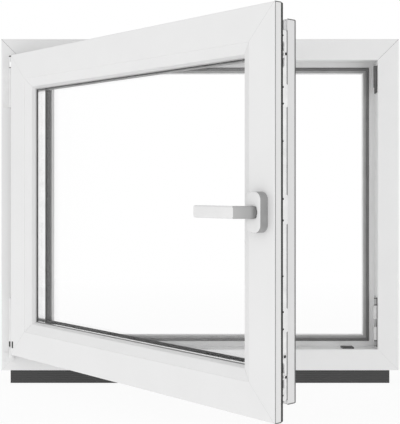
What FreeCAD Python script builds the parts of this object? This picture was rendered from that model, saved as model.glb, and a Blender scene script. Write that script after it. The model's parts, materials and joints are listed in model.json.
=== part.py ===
import FreeCAD, Part
import math
import os
from collections import namedtuple

from FreeCAD import Placement, Rotation, Vector

# A white PVC tilt and turn window on its sill profile, with its sash swung part open.
# Millimetres. +X is to the right as seen from the room, +Y points outdoors, +Z is up.
# The origin is the middle of the sill profile's underside.

# The whole window
frame_width = 900.0
frame_height = 750.0
frame_depth = 70.0
sash_depth = 70.0
open_angle = 48.75

# Running gaps between frame and sash
sash_overlap = 8.0
lip_gap = 5.0
flange_gap = 5.0
pin_clearance = 0.3
seat_clearance = 0.1

# Frame profile: across from its outer edge, deep from its room face
frame_face = 48.0
rebate_fall = 3.0
flange_reach = 25.0
frame_bevel = 7.0
frame_round = 1.5
face_round = 3.0
tip_round = 2.0
clip_groove_width = 8.0
clip_groove_depth = 5.0
clip_groove_inset = 18.0

# Sash profile: across from the edge of its overlap lip, deep from its room face
lip_width = 20.0
lip_thickness = 16.0
lip_round = 1.5
lip_line_inset = 2.0
lip_line_width = 1.2
lip_line_depth = 1.0
sash_flat = 58.0
bead_seat = 14.0
glazing_floor = 64.0
sash_bevel = 5.0
stop_slope = 1.0
edge_round = 2.0
hardware_middle = 40.0
faceplate_width = 20.0
faceplate_thickness = 2.5
faceplate_play = 0.8
rod_groove_width = 12.0
rod_groove_depth = 9.5

# Glazing bead and double glazing
sight_line = 80.0
bead_drop = 0.8
bead_crest = 8.0
bead_crest_inset = 4.0
bead_crest_round = 3.0
bead_back = 17.0
bead_edge = 2.0
bead_edge_round = 1.0
bead_foot_width = 3.0
bead_foot_depth = 4.0
bead_foot_inset = 3.0
inner_gasket_depth = 3.0
glass_thickness = 4.0
cavity = 20.0
outer_gasket_depth = 8.0
pane_clearance = 4.0
spacer_height = 9.0
spacer_setback = 1.0
spacer_round = 1.0
gasket_swell = 1.0

# Seals of frame and sash
seal_inset = 2.0
seal_width = 7.5
strip_thickness = 1.4
seal_foot_width = 3.0
seal_foot_depth = 4.0
seal_crown_round = 2.0
seal_shoulder_round = 1.0
flange_seal_play = 0.7
lip_seal_inset = 3.2
lip_seal_width = 6.0
lip_seal_foot_width = 2.4
lip_seal_foot_depth = 3.0
lip_seal_play = 1.0
lip_seal_round = 1.2
seal_notch = 2.0

# Sill profile
sill_height = 30.0
sill_length = 860.0
sill_setback = 6.0
sill_depth = 60.0
sill_wall = 3.0
sill_round = 1.0
sill_rib_count = 2
tongue_play = 0.3

# Hinge side
hinge_offset = 14.0
hinge_stand_off = 10.0
barrel_radius = 6.5
pin_radius = 3.0
bearing_plate = 2.5
bearing_plate_width = 24.0
bearing_web = 8.0
plate_round = 3.0
tilt_rise = 8.0
knuckle_below = 6.0
knuckle_above = 5.0
knuckle_roof = 1.0
knuckle_gap = 0.4
barrel_gap = 1.5
cup_height = 11.5
cup_plate_drop = 22.0
corner_barrel_length = 111.5
strap_thickness = 4.0
strap_width = 13.0
strap_tail = 7.0
strap_round = 1.0
band_web_inset = 6.0
band_web_width = 6.0
barrel_edge = 1.5

# Stay
stay_lift = 4.5
stay_thickness = 2.5
stay_width = 16.0
stay_length = 240.0
stay_end = 10.0
stay_end_round = 7.0
eye_height = 12.5
eye_gap = 0.4
upper_eye_height = 13.5
stay_barrel_length = 90.0
crank_inner = 4.75
crank_outer = 7.5
crank_bend_start = 8.0
crank_bend_end = 12.5
crank_gap = 3.0
stay_pin_reach = 9.0
stay_guide_length = 180.0
guide_slot_length = 30.0
guide_slot_play = 1.0

# Lock edge
handle_inset = 31.0
rod_play = 0.4
rod_width = 9.0
rod_thickness = 4.0
rod_tail = 30.0
rod_round = 0.5
cam_radius = 3.5
cam_neck_radius = 2.5
cam_height = 7.0
cam_roller = 6.4
cam_edge = 0.8
cam_travel = 18.0
cam_slot_play = 0.4
lower_cam_height = 107.0
upper_cam_drop = 119.0
faceplate_tail = 40.0

# Strikers and the run-up block on the frame's rebate
striker_start = 3.5
striker_end = 40.0
striker_thickness = 2.5
striker_round = 1.0
hook_start = 1.5
hook_depth = 2.5
hook_height = 9.0
hook_round = 0.8
hook_clearance = 5.5
upper_striker_below = 1.0
upper_hook_length = 50.0
lower_striker_below = 55.0
lower_striker_above = 57.0
lower_hook_length = 30.0
block_inset = 113.0
block_length = 26.0
block_height = 3.5
block_round = 1.5
block_start = 8.0
block_end = 40.0

# Drainage at the bottom rail
drain_spread = 250.0
drain_slot_length = 30.0
drain_slot_width = 6.0
drain_slot_inset = 7.0
drain_slot_depth = 5.0
drain_cap_length = 42.0
drain_cap_height = 12.0
drain_cap_base = 14.0
drain_cap_lip = 2.0
drain_cap_hood = 4.0

# Handle
rosette_width = 33.0
rosette_height = 66.0
rosette_thickness = 18.0
rosette_round = 13.0
rosette_edge = 2.0
lever_height = 20.5
lever_length = 110.0
lever_reach = 52.0
lever_tip_thickness = 11.5
lever_grip_thickness = 12.5
lever_taper = 2.0
neck_half = 9.5
neck_lean = 19.0
neck_round = 8.0
tip_corner = 5.5
lever_corner = 3.0
lever_edge = 2.0
collar_radius = 10.5
collar_height = 4.0
spindle_radius = 5.0
spindle_depth = 9.0

# Places that follow from the sizes above
rebate_depth = sash_depth - lip_thickness - lip_gap + flange_gap
frame_front = -frame_depth / 2
sash_front = frame_front - lip_gap - lip_thickness
frame_bottom = sill_height
frame_top = sill_height + frame_height
window_middle = sill_height + frame_height / 2
lip_margin = frame_face - sash_overlap
sash_width = frame_width - 2 * lip_margin
sash_height = frame_height - 2 * lip_margin
sash_bottom = frame_bottom + lip_margin
sash_top = frame_top - lip_margin
flange_tip = frame_face + flange_reach
flange_wall = frame_depth - rebate_depth
flange_bevel = min(frame_bevel, flange_wall / 2)
flange_round = min(tip_round, (flange_wall - flange_bevel) / 3)
seal_middle = lip_margin + lip_width + seal_inset
seal_height = flange_gap - flange_seal_play
lip_seal_height = lip_gap - lip_seal_play
faceplate_back = lip_width + faceplate_thickness
rod_front = faceplate_back + rod_play
pane_edge = glazing_floor + pane_clearance
inner_pane_front = bead_back + inner_gasket_depth
cavity_front = inner_pane_front + glass_thickness
outer_pane_front = cavity_front + cavity
outer_gasket_front = outer_pane_front + glass_thickness
outer_stop = outer_gasket_front + outer_gasket_depth
bead_foot_middle = sash_flat + bead_foot_inset
hinge_x = -sash_width / 2 - hinge_offset
hinge_y = frame_front - hinge_stand_off
tilt_z = sash_bottom + tilt_rise
bore_radius = pin_radius + pin_clearance
sash_body_top = sash_top - lip_width
stay_low = sash_body_top + stay_lift
stay_high = stay_low + stay_thickness
handle_x = sash_width / 2 - handle_inset

Ring = namedtuple("Ring", "width height front")
frame_ring = Ring(frame_width, frame_height, frame_front)
sash_ring = Ring(sash_width, sash_height, sash_front)

SIDE_TURNS = {"bottom": 0.0, "top": 180.0, "left": 90.0, "right": -90.0}


def rounded_wire(corners, to_space):
    """Closed wire through (a, b, radius) corners, each corner rounded by its own radius."""
    points = [Vector(a, b, 0) for a, b, radius in corners]
    stops = []
    for index, here in enumerate(points):
        radius = corners[index][2]
        if radius == 0:
            stops.append((here, None, here))
            continue
        back = (points[index - 1] - here).normalize()
        ahead = (points[(index + 1) % len(points)] - here).normalize()
        half_angle = back.getAngle(ahead) / 2
        reach = radius / math.tan(half_angle)
        inward = (back + ahead).normalize()
        crown = here + inward * (radius / math.sin(half_angle) - radius)
        stops.append((here + back * reach, crown, here + ahead * reach))
    edges = []
    for index, (start, crown, end) in enumerate(stops):
        line_start = stops[index - 1][2]
        if (start - line_start).Length > 1e-6:
            edges.append(Part.LineSegment(to_space(line_start), to_space(start)).toShape())
        if crown is not None:
            edges.append(Part.Arc(to_space(start), to_space(crown), to_space(end)).toShape())
    return Part.Wire(edges)


def run(corners, start, end):
    """Profile of (across, deep, radius) corners, drawn out along X from start to end."""
    wire = rounded_wire(corners, lambda point: Vector(start, point.y, point.x))
    return Part.Face(wire).extrude(Vector(end - start, 0, 0))


def plan_prism(corners, low, high):
    """Plan outline of (x, y, radius) corners, drawn up from low to high."""
    wire = rounded_wire(corners, lambda point: Vector(point.x, point.y, low))
    return Part.Face(wire).extrude(Vector(0, 0, high - low))


def front_prism(corners, start, end):
    """Front outline of (x, z, radius) corners, drawn along Y from start to end."""
    wire = rounded_wire(corners, lambda point: Vector(point.x, start, point.y))
    return Part.Face(wire).extrude(Vector(0, end - start, 0))


def rectangle(left, right, low, high, radius):
    """Corners of an upright rectangle with one rounding."""
    return [(left, low, radius), (right, low, radius), (right, high, radius), (left, high, radius)]


def upright(radius, low, high, x=hinge_x, y=hinge_y):
    """Upright cylinder, on the hinge line unless told otherwise."""
    return Part.makeCylinder(radius, high - low, Vector(x, y, low))


def join(first, *others):
    """One solid from pieces that meet."""
    return first.multiFuse(list(others)).removeSplitter().Solids[0]


def on_side(shape, side, ring):
    """Set a piece made along a bottom bar onto one side of a ring."""
    edges = {
        "bottom": Vector(0, ring.front, window_middle - ring.height / 2),
        "top": Vector(0, ring.front, window_middle + ring.height / 2),
        "left": Vector(-ring.width / 2, ring.front, window_middle),
        "right": Vector(ring.width / 2, ring.front, window_middle),
    }
    placed = shape.copy()
    placed.Placement = Placement(edges[side], Rotation(Vector(0, 1, 0), SIDE_TURNS[side]))
    return placed


def mitred_bar(corners, length):
    """Bar of a profile, cut at 45 degrees from both ends of its outer edge."""
    half = length / 2
    reach = max(corner[0] for corner in corners)
    near = min(corner[1] for corner in corners) - 1
    far = max(corner[1] for corner in corners) + 1
    outline = [(-half, 0, 0), (half, 0, 0), (half - reach, reach, 0), (reach - half, reach, 0)]
    return run(corners, -half, half).common(front_prism(outline, near, far)).Solids[0]


def mitred_ring(corners, ring):
    """The four mitred bars of a ring, by side."""
    lengths = {"top": ring.width, "bottom": ring.width, "left": ring.height, "right": ring.height}
    return {side: on_side(mitred_bar(corners, lengths[side]), side, ring) for side in lengths}


def one_piece_ring(corners, ring):
    """A mitred ring joined at its corners, as a gasket is."""
    return join(*mitred_ring(corners, ring).values())


def opened(shape):
    """Swing a piece from the closed sash to its place on the open one."""
    swung = shape.copy()
    swung.rotate(Vector(hinge_x, hinge_y, 0), Vector(0, 0, 1), -open_angle)
    return swung


def frame_profile():
    """Frame section with its rebate, outer flange, seal groove and clip grooves."""
    seal_low = seal_middle - seal_foot_width / 2
    seal_high = seal_middle + seal_foot_width / 2
    corners = [
        (0, 0, frame_round),
        (frame_face, 0, face_round),
        (frame_face - rebate_fall, rebate_depth, frame_round),
        (seal_low, rebate_depth, 0),
        (seal_low, rebate_depth + seal_foot_depth, 0),
        (seal_high, rebate_depth + seal_foot_depth, 0),
        (seal_high, rebate_depth, 0),
        (flange_tip, rebate_depth, flange_round),
        (flange_tip, frame_depth - flange_bevel, flange_round),
        (flange_tip - flange_bevel, frame_depth, flange_round),
        (0, frame_depth, frame_round),
    ]
    for groove in reversed(clip_groove_middles()):
        near = groove - clip_groove_width / 2
        far = groove + clip_groove_width / 2
        corners += [(0, far, 0), (clip_groove_depth, far, 0), (clip_groove_depth, near, 0), (0, near, 0)]
    return corners


def clip_groove_middles():
    """Depths of the two clip grooves in the frame's outer edge."""
    return [clip_groove_inset, frame_depth - clip_groove_inset]


def frame_seal_profile():
    """Hollow-backed bulb of the frame gasket with its foot in the flange."""
    half = seal_width / 2
    foot = seal_foot_width / 2 - seat_clearance
    crown = rebate_depth - seal_height
    shoulder = rebate_depth - seal_height / 2
    return [
        (seal_middle - half, rebate_depth, 0),
        (seal_middle - half, shoulder, seal_shoulder_round),
        (seal_middle, crown, seal_crown_round),
        (seal_middle + half, shoulder, seal_shoulder_round),
        (seal_middle + half, rebate_depth, 0),
        (seal_middle + foot, rebate_depth, 0),
        (seal_middle + foot, rebate_depth + seal_foot_depth - seat_clearance, 0),
        (seal_middle - foot, rebate_depth + seal_foot_depth - seat_clearance, 0),
        (seal_middle - foot, rebate_depth, 0),
    ]


def flange_strip_profile():
    """Grey rubber strip over the flange's edge, beside the frame gasket."""
    low = seal_middle + seal_width / 2
    high = flange_tip - flange_round
    return rectangle(low, high, rebate_depth - strip_thickness, rebate_depth, 0)


def sash_profile():
    """Sash section with its overlap lip, hardware groove, bead seat and outer glazing stop."""
    plate_near = hardware_middle - faceplate_width / 2 - faceplate_play
    plate_far = hardware_middle + faceplate_width / 2 + faceplate_play
    rod_near = hardware_middle - rod_groove_width / 2
    rod_far = hardware_middle + rod_groove_width / 2
    rod_floor = faceplate_back + rod_groove_depth
    foot_low = bead_foot_middle - bead_foot_width / 2
    foot_high = bead_foot_middle + bead_foot_width / 2
    seal_low = lip_seal_inset - lip_seal_foot_width / 2
    seal_high = lip_seal_inset + lip_seal_foot_width / 2
    stop_back = sash_depth - sash_bevel
    line_far = lip_line_inset + lip_line_width
    return [
        (0, 0, lip_round),
        (sash_flat, 0, bead_drop),
        (sash_flat, bead_seat, 0),
        (foot_low, bead_seat, 0),
        (foot_low, bead_seat + bead_foot_depth, 0),
        (foot_high, bead_seat + bead_foot_depth, 0),
        (foot_high, bead_seat, 0),
        (glazing_floor, bead_seat, 0),
        (glazing_floor, outer_stop, 0),
        (sight_line, outer_stop, edge_round / 2),
        (sight_line - stop_slope, stop_back, edge_round),
        (sight_line - sash_bevel, sash_depth, edge_round),
        (lip_width, sash_depth, edge_round),
        (lip_width, plate_far, 0),
        (faceplate_back, plate_far, 0),
        (faceplate_back, rod_far, 0),
        (rod_floor, rod_far, 0),
        (rod_floor, rod_near, 0),
        (faceplate_back, rod_near, 0),
        (faceplate_back, plate_near, 0),
        (lip_width, plate_near, 0),
        (lip_width, lip_thickness, edge_round),
        (seal_high, lip_thickness, 0),
        (seal_high, lip_thickness - lip_seal_foot_depth, 0),
        (seal_low, lip_thickness - lip_seal_foot_depth, 0),
        (seal_low, lip_thickness, 0),
        (0, lip_thickness, edge_round / 2),
        (0, line_far, 0),
        (lip_line_depth, line_far, 0),
        (lip_line_depth, lip_line_inset, 0),
        (0, lip_line_inset, 0),
    ]


def lip_seal_profile():
    """Overlap gasket on the back of the sash's lip, fullest at the lip's edge."""
    half = lip_seal_width / 2
    foot = lip_seal_foot_width / 2 - seat_clearance
    crown = lip_thickness + lip_seal_height
    shoulder = lip_thickness + lip_seal_height / 2
    foot_end = lip_thickness - lip_seal_foot_depth + seat_clearance
    return [
        (lip_seal_inset - half, lip_thickness, 0),
        (lip_seal_inset - half, crown, lip_seal_round),
        (lip_seal_inset + half, shoulder, lip_seal_round),
        (lip_seal_inset + half, lip_thickness, 0),
        (lip_seal_inset + foot, lip_thickness, 0),
        (lip_seal_inset + foot, foot_end, 0),
        (lip_seal_inset - foot, foot_end, 0),
        (lip_seal_inset - foot, lip_thickness, 0),
    ]


def sash_gasket():
    """Overlap gasket, left out at the hinge side where the stay's crank passes."""
    ring = one_piece_ring(lip_seal_profile(), sash_ring)
    low = stay_high - eye_height - seal_notch
    height = eye_height + 2 * seal_notch
    corner = Vector(-sash_width / 2, sash_front, low)
    notch = Part.makeBox(2 * lip_seal_inset, lip_thickness + lip_gap, height, corner)
    return ring.cut(notch).Solids[0]


def bead_profile():
    """Glazing bead: a sloped face that rounds over to the glass, with a clip foot."""
    foot = bead_foot_width / 2 - seat_clearance
    foot_end = bead_seat + bead_foot_depth - seat_clearance
    return [
        (sash_flat, bead_drop, 0),
        (sight_line - bead_crest_inset, bead_crest, bead_crest_round),
        (sight_line, bead_back - bead_edge, bead_edge_round),
        (sight_line, bead_back, 0),
        (glazing_floor, bead_back, 0),
        (glazing_floor, bead_seat, 0),
        (bead_foot_middle + foot, bead_seat, 0),
        (bead_foot_middle + foot, foot_end, 0),
        (bead_foot_middle - foot, foot_end, 0),
        (bead_foot_middle - foot, bead_seat, 0),
        (sash_flat, bead_seat, 0),
    ]


def glazing_gasket_profile(front, depth):
    """Wedge gasket between the glass and its stop, just proud of the sight line."""
    root = (glazing_floor + sight_line) / 2
    return [
        (root, front, 0),
        (sight_line, front, 0),
        (sight_line + gasket_swell, front + depth / 2, depth / 4),
        (sight_line, front + depth, 0),
        (root, front + depth, 0),
    ]


def spacer_profile():
    """Spacer bar with its two rounded inner corners."""
    low = pane_edge + spacer_setback
    high = low + spacer_height
    return [
        (low, cavity_front, 0),
        (high, cavity_front, spacer_round),
        (high, outer_pane_front, spacer_round),
        (low, outer_pane_front, 0),
    ]


def pane(front):
    """One sheet of glass, set clear of the glazing rebate's floor."""
    width = sash_width - 2 * pane_edge
    height = sash_height - 2 * pane_edge
    corner = Vector(-width / 2, sash_front + front, window_middle - height / 2)
    return Part.makeBox(width, glass_thickness, height, corner)


def sill_profile():
    """Chambered sill profile, open at its ends, with tongues up into the frame's clip grooves."""
    front = frame_front + sill_setback
    back = front + sill_depth
    half = sill_length / 2
    outline = rectangle(0, sill_height, front, back, sill_round)
    body = run(outline, -half, half)
    pitch = (sill_depth - sill_wall) / (sill_rib_count + 1)
    for chamber in range(sill_rib_count + 1):
        near = front + sill_wall + chamber * pitch
        far = near + pitch - sill_wall
        hollow = rectangle(sill_wall, sill_height - sill_wall, near, far, sill_round)
        body = body.cut(run(hollow, -half, half))
    half_tongue = clip_groove_width / 2 - tongue_play
    tongue_top = sill_height + clip_groove_depth - tongue_play
    tongues = []
    for middle in clip_groove_middles():
        near = frame_front + middle - half_tongue
        tongue = rectangle(sill_height - sill_wall / 2, tongue_top, near, near + 2 * half_tongue, 0)
        tongues.append(run(tongue, -half, half))
    return join(body, *tongues)


def frame_bottom_rail(bar):
    """Bottom rail with the drain slots through its rebate."""
    slot_far = rebate_depth - drain_slot_inset + drain_slot_width
    slot_top = rebate_height(slot_far) + drain_slot_depth
    for middle in (-drain_spread, drain_spread):
        start = middle - drain_slot_length / 2
        outline = rectangle(slot_top - 2 * drain_slot_depth, slot_top,
                            slot_far - drain_slot_width, slot_far, 0)
        slot = run(outline, start, start + drain_slot_length)
        bar = bar.cut(on_side(slot, "bottom", frame_ring))
    return bar.Solids[0]


def drain_caps():
    """Two hooded caps over the drain holes in the outdoor face of the bottom rail."""
    outline = [
        (drain_cap_base, frame_depth, 0),
        (drain_cap_base, frame_depth + drain_cap_lip, drain_cap_lip / 2),
        (drain_cap_base + drain_cap_height, frame_depth + drain_cap_hood, drain_cap_lip / 2),
        (drain_cap_base + drain_cap_height, frame_depth, 0),
    ]
    caps = []
    for middle in (-drain_spread, drain_spread):
        start = middle - drain_cap_length / 2
        caps.append(on_side(run(outline, start, start + drain_cap_length), "bottom", frame_ring))
    return Part.Compound(caps)


def rebate_height(deep):
    """How far across the sloping rebate stands at a depth behind the room face."""
    return frame_face - rebate_fall * deep / rebate_depth


def on_rebate(start, end, height, radius):
    """Section of a piece that lies on the sloping rebate."""
    return [
        (rebate_height(start), start, 0),
        (rebate_height(start) + height, start, radius),
        (rebate_height(end) + height, end, radius),
        (rebate_height(end), end, 0),
    ]


def striker_base(start, end):
    """Striker plate along the right rebate."""
    return run(on_rebate(striker_start, striker_end, striker_thickness, striker_round), start, end)


def striker_hook(start, end):
    """Hook at the room edge of a striker, which a cam slides behind."""
    foot = rebate_height(striker_start)
    back = hook_start + hook_depth
    section = [
        (foot, striker_start, 0),
        (foot + striker_thickness, hook_start, 0),
        (foot + hook_height, hook_start, hook_round),
        (foot + hook_height, back, hook_round),
        (foot, back, 0),
    ]
    return run(section, start, end)


def upper_striker():
    """Upper striker: the cam passes under its hook to open, and rises behind it to lock."""
    cam = cam_places()[1]
    hook_low = cam + cam_radius + hook_clearance
    hook_high = hook_low + upper_hook_length
    base = striker_base(cam - upper_striker_below, hook_high)
    return on_side(join(base, striker_hook(hook_low, hook_high)), "right", frame_ring)


def lower_striker():
    """Lower striker: one hook holds the locked cam and another the cam of the tilted sash."""
    cam = cam_places()[0]
    low = cam - lower_striker_below
    reach = cam_radius + hook_clearance
    base = striker_base(low, cam + lower_striker_above)
    lock_hook = striker_hook(cam + reach, cam + reach + lower_hook_length)
    tilt_hook = striker_hook(cam - reach - lower_hook_length, cam - reach)
    return on_side(join(base, lock_hook, tilt_hook), "right", frame_ring)


def run_up_block():
    """Block on the bottom rebate that takes the closing sash's weight."""
    section = on_rebate(block_start, block_end, block_height, block_round)
    start = frame_width / 2 - block_inset - block_length / 2
    return on_side(run(section, start, start + block_length), "bottom", frame_ring)


def bearing_base(low, high):
    """Plate screwed to the frame's room face beside the hinge line."""
    right = hinge_x + pin_radius
    outline = rectangle(right - bearing_plate_width, right, low, high, plate_round)
    return front_prism(outline, frame_front - bearing_plate, frame_front)


def bearing_arm(low, high):
    """Arm from the base plate out to a barrel on the hinge line."""
    half = bearing_web / 2
    corner = Vector(hinge_x - half, hinge_y, low)
    return Part.makeBox(bearing_web, hinge_stand_off - bearing_plate, high - low, corner)


def corner_bearing():
    """Bottom bearing on the frame: base plate, cup and the pin that the sash turns on."""
    cup_top = tilt_z - knuckle_below - knuckle_gap
    cup_low = cup_top - cup_height
    pin_top = tilt_z + knuckle_above - knuckle_roof - pin_clearance
    base = bearing_base(cup_top - cup_plate_drop, cup_top)
    arm = bearing_arm(cup_low, cup_top)
    return join(base, arm, upright(barrel_radius, cup_low, cup_top), upright(pin_radius, cup_top, pin_top))


def corner_knuckle():
    """Sleeve that turns on the corner bearing's pin and carries the level tilt pin."""
    low = tilt_z - knuckle_below
    high = tilt_z + knuckle_above
    sleeve = upright(barrel_radius, low, high)
    start = (barrel_radius + bore_radius) / 2
    length = hinge_offset - pin_clearance - start
    tilt_pin = Part.makeCylinder(pin_radius, length, Vector(hinge_x + start, hinge_y, tilt_z), Vector(1, 0, 0))
    return join(sleeve, tilt_pin).cut(upright(bore_radius, low, high - knuckle_roof)).Solids[0]


def corner_band():
    """Bottom band on the sash: a strap on the lip's edge with a long barrel, bored for the tilt pin."""
    lip_edge = hinge_x + hinge_offset
    barrel_low = tilt_z + knuckle_above + barrel_gap
    barrel_high = barrel_low + corner_barrel_length
    barrel = upright(barrel_radius, barrel_low, barrel_high)
    barrel = barrel.makeChamfer(barrel_edge, [barrel.Edges[0]])
    front = sash_front + (lip_thickness - strap_width) / 2
    strap_plan = rectangle(lip_edge - strap_thickness, lip_edge, front, front + strap_width, strap_round)
    strap = plan_prism(strap_plan, tilt_z - strap_tail, barrel_high - band_web_inset)
    web_corner = Vector(hinge_x, hinge_y - band_web_width / 2, barrel_low + band_web_inset)
    web_length = corner_barrel_length - 2 * band_web_inset
    web = Part.makeBox(hinge_offset - strap_thickness / 2, band_web_width, web_length, web_corner)
    bore_start = Vector(lip_edge - 2 * strap_thickness, hinge_y, tilt_z)
    bore = Part.makeCylinder(bore_radius, 3 * strap_thickness, bore_start, Vector(1, 0, 0))
    return join(barrel, strap, web).cut(bore).Solids[0]


def stay_bearing():
    """Top bearing on the frame: a long barrel, an upper eye and the pin between them."""
    barrel_top = stay_high - eye_height - eye_gap
    barrel_low = barrel_top - stay_barrel_length
    upper_low = stay_high + eye_gap
    upper_high = upper_low + upper_eye_height
    base = bearing_base(barrel_low, upper_high)
    pieces = [
        bearing_arm(barrel_low + bearing_web, barrel_top),
        bearing_arm(upper_low, upper_high),
        upright(barrel_radius, barrel_low, barrel_top),
        upright(barrel_radius, upper_low, upper_high),
        upright(pin_radius, barrel_top, upper_low),
    ]
    return join(base, *pieces)


def crank_plan():
    """Plan of the stay's crank, which steps round the lip's edge and turns in beside the sash body."""
    half = stay_thickness / 2
    inner = hinge_y + crank_inner
    outer = hinge_y + crank_outer
    bend_start = hinge_x + crank_bend_start
    bend_end = hinge_x + crank_bend_end
    left = -frame_width / 2 + frame_face + crank_gap
    right = left + stay_thickness
    back = sash_front + hardware_middle + stay_width / 2
    return [
        (hinge_x, inner - half, 0),
        (bend_start, inner - half, 0),
        (bend_end, outer - half, 0),
        (right, outer - half, stay_thickness),
        (right, back, 0),
        (left, back, 0),
        (left, outer + half, 0),
        (bend_end, outer + half, 0),
        (bend_start, inner + half, 0),
        (hinge_x, inner + half, 0),
    ]


def stay_arm():
    """Top stay: an eye on the bearing's pin, a cranked neck, a flat arm and the guide pin at its end."""
    eye_low = stay_high - eye_height
    middle_y = sash_front + hardware_middle
    left = -frame_width / 2 + frame_face + crank_gap
    pin_x = hinge_x + stay_length
    arm_plan = rectangle(left, pin_x + stay_end, middle_y - stay_width / 2, middle_y + stay_width / 2, 0)
    arm_plan[1] = arm_plan[1][:2] + (stay_end_round,)
    arm_plan[2] = arm_plan[2][:2] + (stay_end_round,)
    pieces = [
        plan_prism(crank_plan(), eye_low, stay_high),
        plan_prism(arm_plan, stay_low, stay_high),
        upright(pin_radius, stay_low - stay_pin_reach, stay_low, pin_x, middle_y),
    ]
    arm = join(upright(barrel_radius, eye_low, stay_high), *pieces)
    return arm.cut(upright(bore_radius, eye_low, stay_high)).Solids[0]


def slot(middle, length, half_width):
    """Cutter for a round-ended slot through a faceplate lying in the hardware groove."""
    outline = rectangle(middle - length / 2, middle + length / 2,
                        hardware_middle - half_width, hardware_middle + half_width, half_width - 0.01)
    return plan_prism(outline, lip_width - 1, faceplate_back + 1)


def faceplate(start, end):
    """Strip that closes the hardware groove, with rounded ends."""
    outline = rectangle(start, end, hardware_middle - faceplate_width / 2,
                        hardware_middle + faceplate_width / 2, faceplate_width / 4)
    return plan_prism(outline, lip_width, faceplate_back)


def cam_places():
    """Places of the two cams along the lock stile, from its middle."""
    low = frame_bottom + lower_cam_height - window_middle
    high = frame_top - upper_cam_drop - window_middle
    return [low, high]


def lock_faceplate():
    """Faceplate of the lock edge with a slot for each cam."""
    low, high = cam_places()
    plate = faceplate(low - faceplate_tail, high + faceplate_tail)
    half_width = cam_radius + cam_slot_play
    for place in cam_places():
        plate = plate.cut(slot(place, 2 * (cam_travel + half_width), half_width))
    return on_side(plate.Solids[0], "right", sash_ring)


def stay_guide():
    """Faceplate on the top edge with the slot that the stay's pin slides in."""
    middle = -(hinge_x + stay_length)
    half_width = pin_radius + guide_slot_play
    plate = faceplate(middle - stay_guide_length / 2, middle + stay_guide_length / 2)
    plate = plate.cut(slot(middle, guide_slot_length, half_width))
    return on_side(plate.Solids[0], "top", sash_ring)


def drive_rod():
    """Flat rod that slides behind the lock faceplate."""
    low, high = cam_places()
    near = hardware_middle - rod_width / 2
    section = rectangle(rod_front, rod_front + rod_thickness, near, near + rod_width, rod_round)
    return on_side(run(section, low - rod_tail, high + rod_tail), "right", sash_ring)


def locking_cams():
    """Roller cams riveted to the drive rod, standing out through the faceplate's slots."""
    tip = lip_width - cam_height
    cams = []
    for place in cam_places():
        roller = Part.makeCylinder(cam_radius, cam_roller, Vector(place, hardware_middle, tip))
        roller = roller.makeChamfer(cam_edge, [roller.Edges[2]])
        neck_start = Vector(place, hardware_middle, tip + cam_roller)
        neck = Part.makeCylinder(cam_neck_radius, rod_front - tip - cam_roller, neck_start)
        cams.append(on_side(join(roller, neck), "right", sash_ring))
    return Part.Compound(cams)


def handle_rosette():
    """Rounded rosette on the lock stile, bored for the lever's spindle."""
    half = rosette_width / 2
    rise = rosette_height / 2
    outline = rectangle(handle_x - half, handle_x + half,
                        window_middle - rise, window_middle + rise, rosette_round)
    front = sash_front - rosette_thickness
    body = front_prism(outline, sash_front, front)
    rim = [edge for edge in body.Edges if abs(edge.CenterOfMass.y - front) < 1e-3]
    body = body.makeChamfer(rosette_edge, rim)
    bore_start = Vector(handle_x, front, window_middle)
    bore_depth = spindle_depth + pin_clearance
    bore = Part.makeCylinder(spindle_radius + pin_clearance, bore_depth, bore_start, Vector(0, 1, 0))
    return body.cut(bore).Solids[0]


def handle_lever():
    """Lever: a leaning neck that turns into a straight grip pointing at the hinges."""
    root = rosette_thickness + pin_clearance
    grip_back = lever_reach - lever_grip_thickness
    tip_front = lever_reach - lever_taper
    tip_back = tip_front - lever_tip_thickness
    plan = [
        (neck_half, root, 0),
        (neck_half - neck_lean, lever_reach, lever_corner),
        (-lever_length, tip_front, tip_corner),
        (-lever_length, tip_back, tip_corner),
        (-neck_half - neck_lean, grip_back, neck_round),
        (-neck_half, root, 0),
    ]
    placed = [(handle_x + along, sash_front - out, radius) for along, out, radius in plan]
    low = window_middle - lever_height / 2
    blade = plan_prism(placed, low, low + lever_height)
    rim = []
    for edge in blade.Edges:
        level = abs(abs(edge.CenterOfMass.z - window_middle) - lever_height / 2) < 1e-3
        clear_of_root = sash_front - edge.CenterOfMass.y > root + 1
        if level and clear_of_root:
            rim.append(edge)
    blade = blade.makeChamfer(lever_edge, rim)
    seat = Vector(handle_x, sash_front - root, window_middle)
    collar = Part.makeCylinder(collar_radius, collar_height, seat, Vector(0, -1, 0))
    spindle = Part.makeCylinder(spindle_radius, spindle_depth, seat, Vector(0, 1, 0))
    return join(blade, collar, spindle)


# Pieces that stay with the frame
frame_bars = mitred_ring(frame_profile(), frame_ring)
pieces = {
    "frame_top_rail": frame_bars["top"],
    "frame_bottom_rail": frame_bottom_rail(frame_bars["bottom"]),
    "frame_left_jamb": frame_bars["left"],
    "frame_right_jamb": frame_bars["right"],
    "frame_gasket": one_piece_ring(frame_seal_profile(), frame_ring),
    "sill_profile": sill_profile(),
    "flange_strip": one_piece_ring(flange_strip_profile(), frame_ring),
    "upper_striker": upper_striker(),
    "lower_striker": lower_striker(),
    "run_up_block": run_up_block(),
    "drain_caps": drain_caps(),
    "corner_bearing": corner_bearing(),
    "stay_bearing": stay_bearing(),
}

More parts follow.
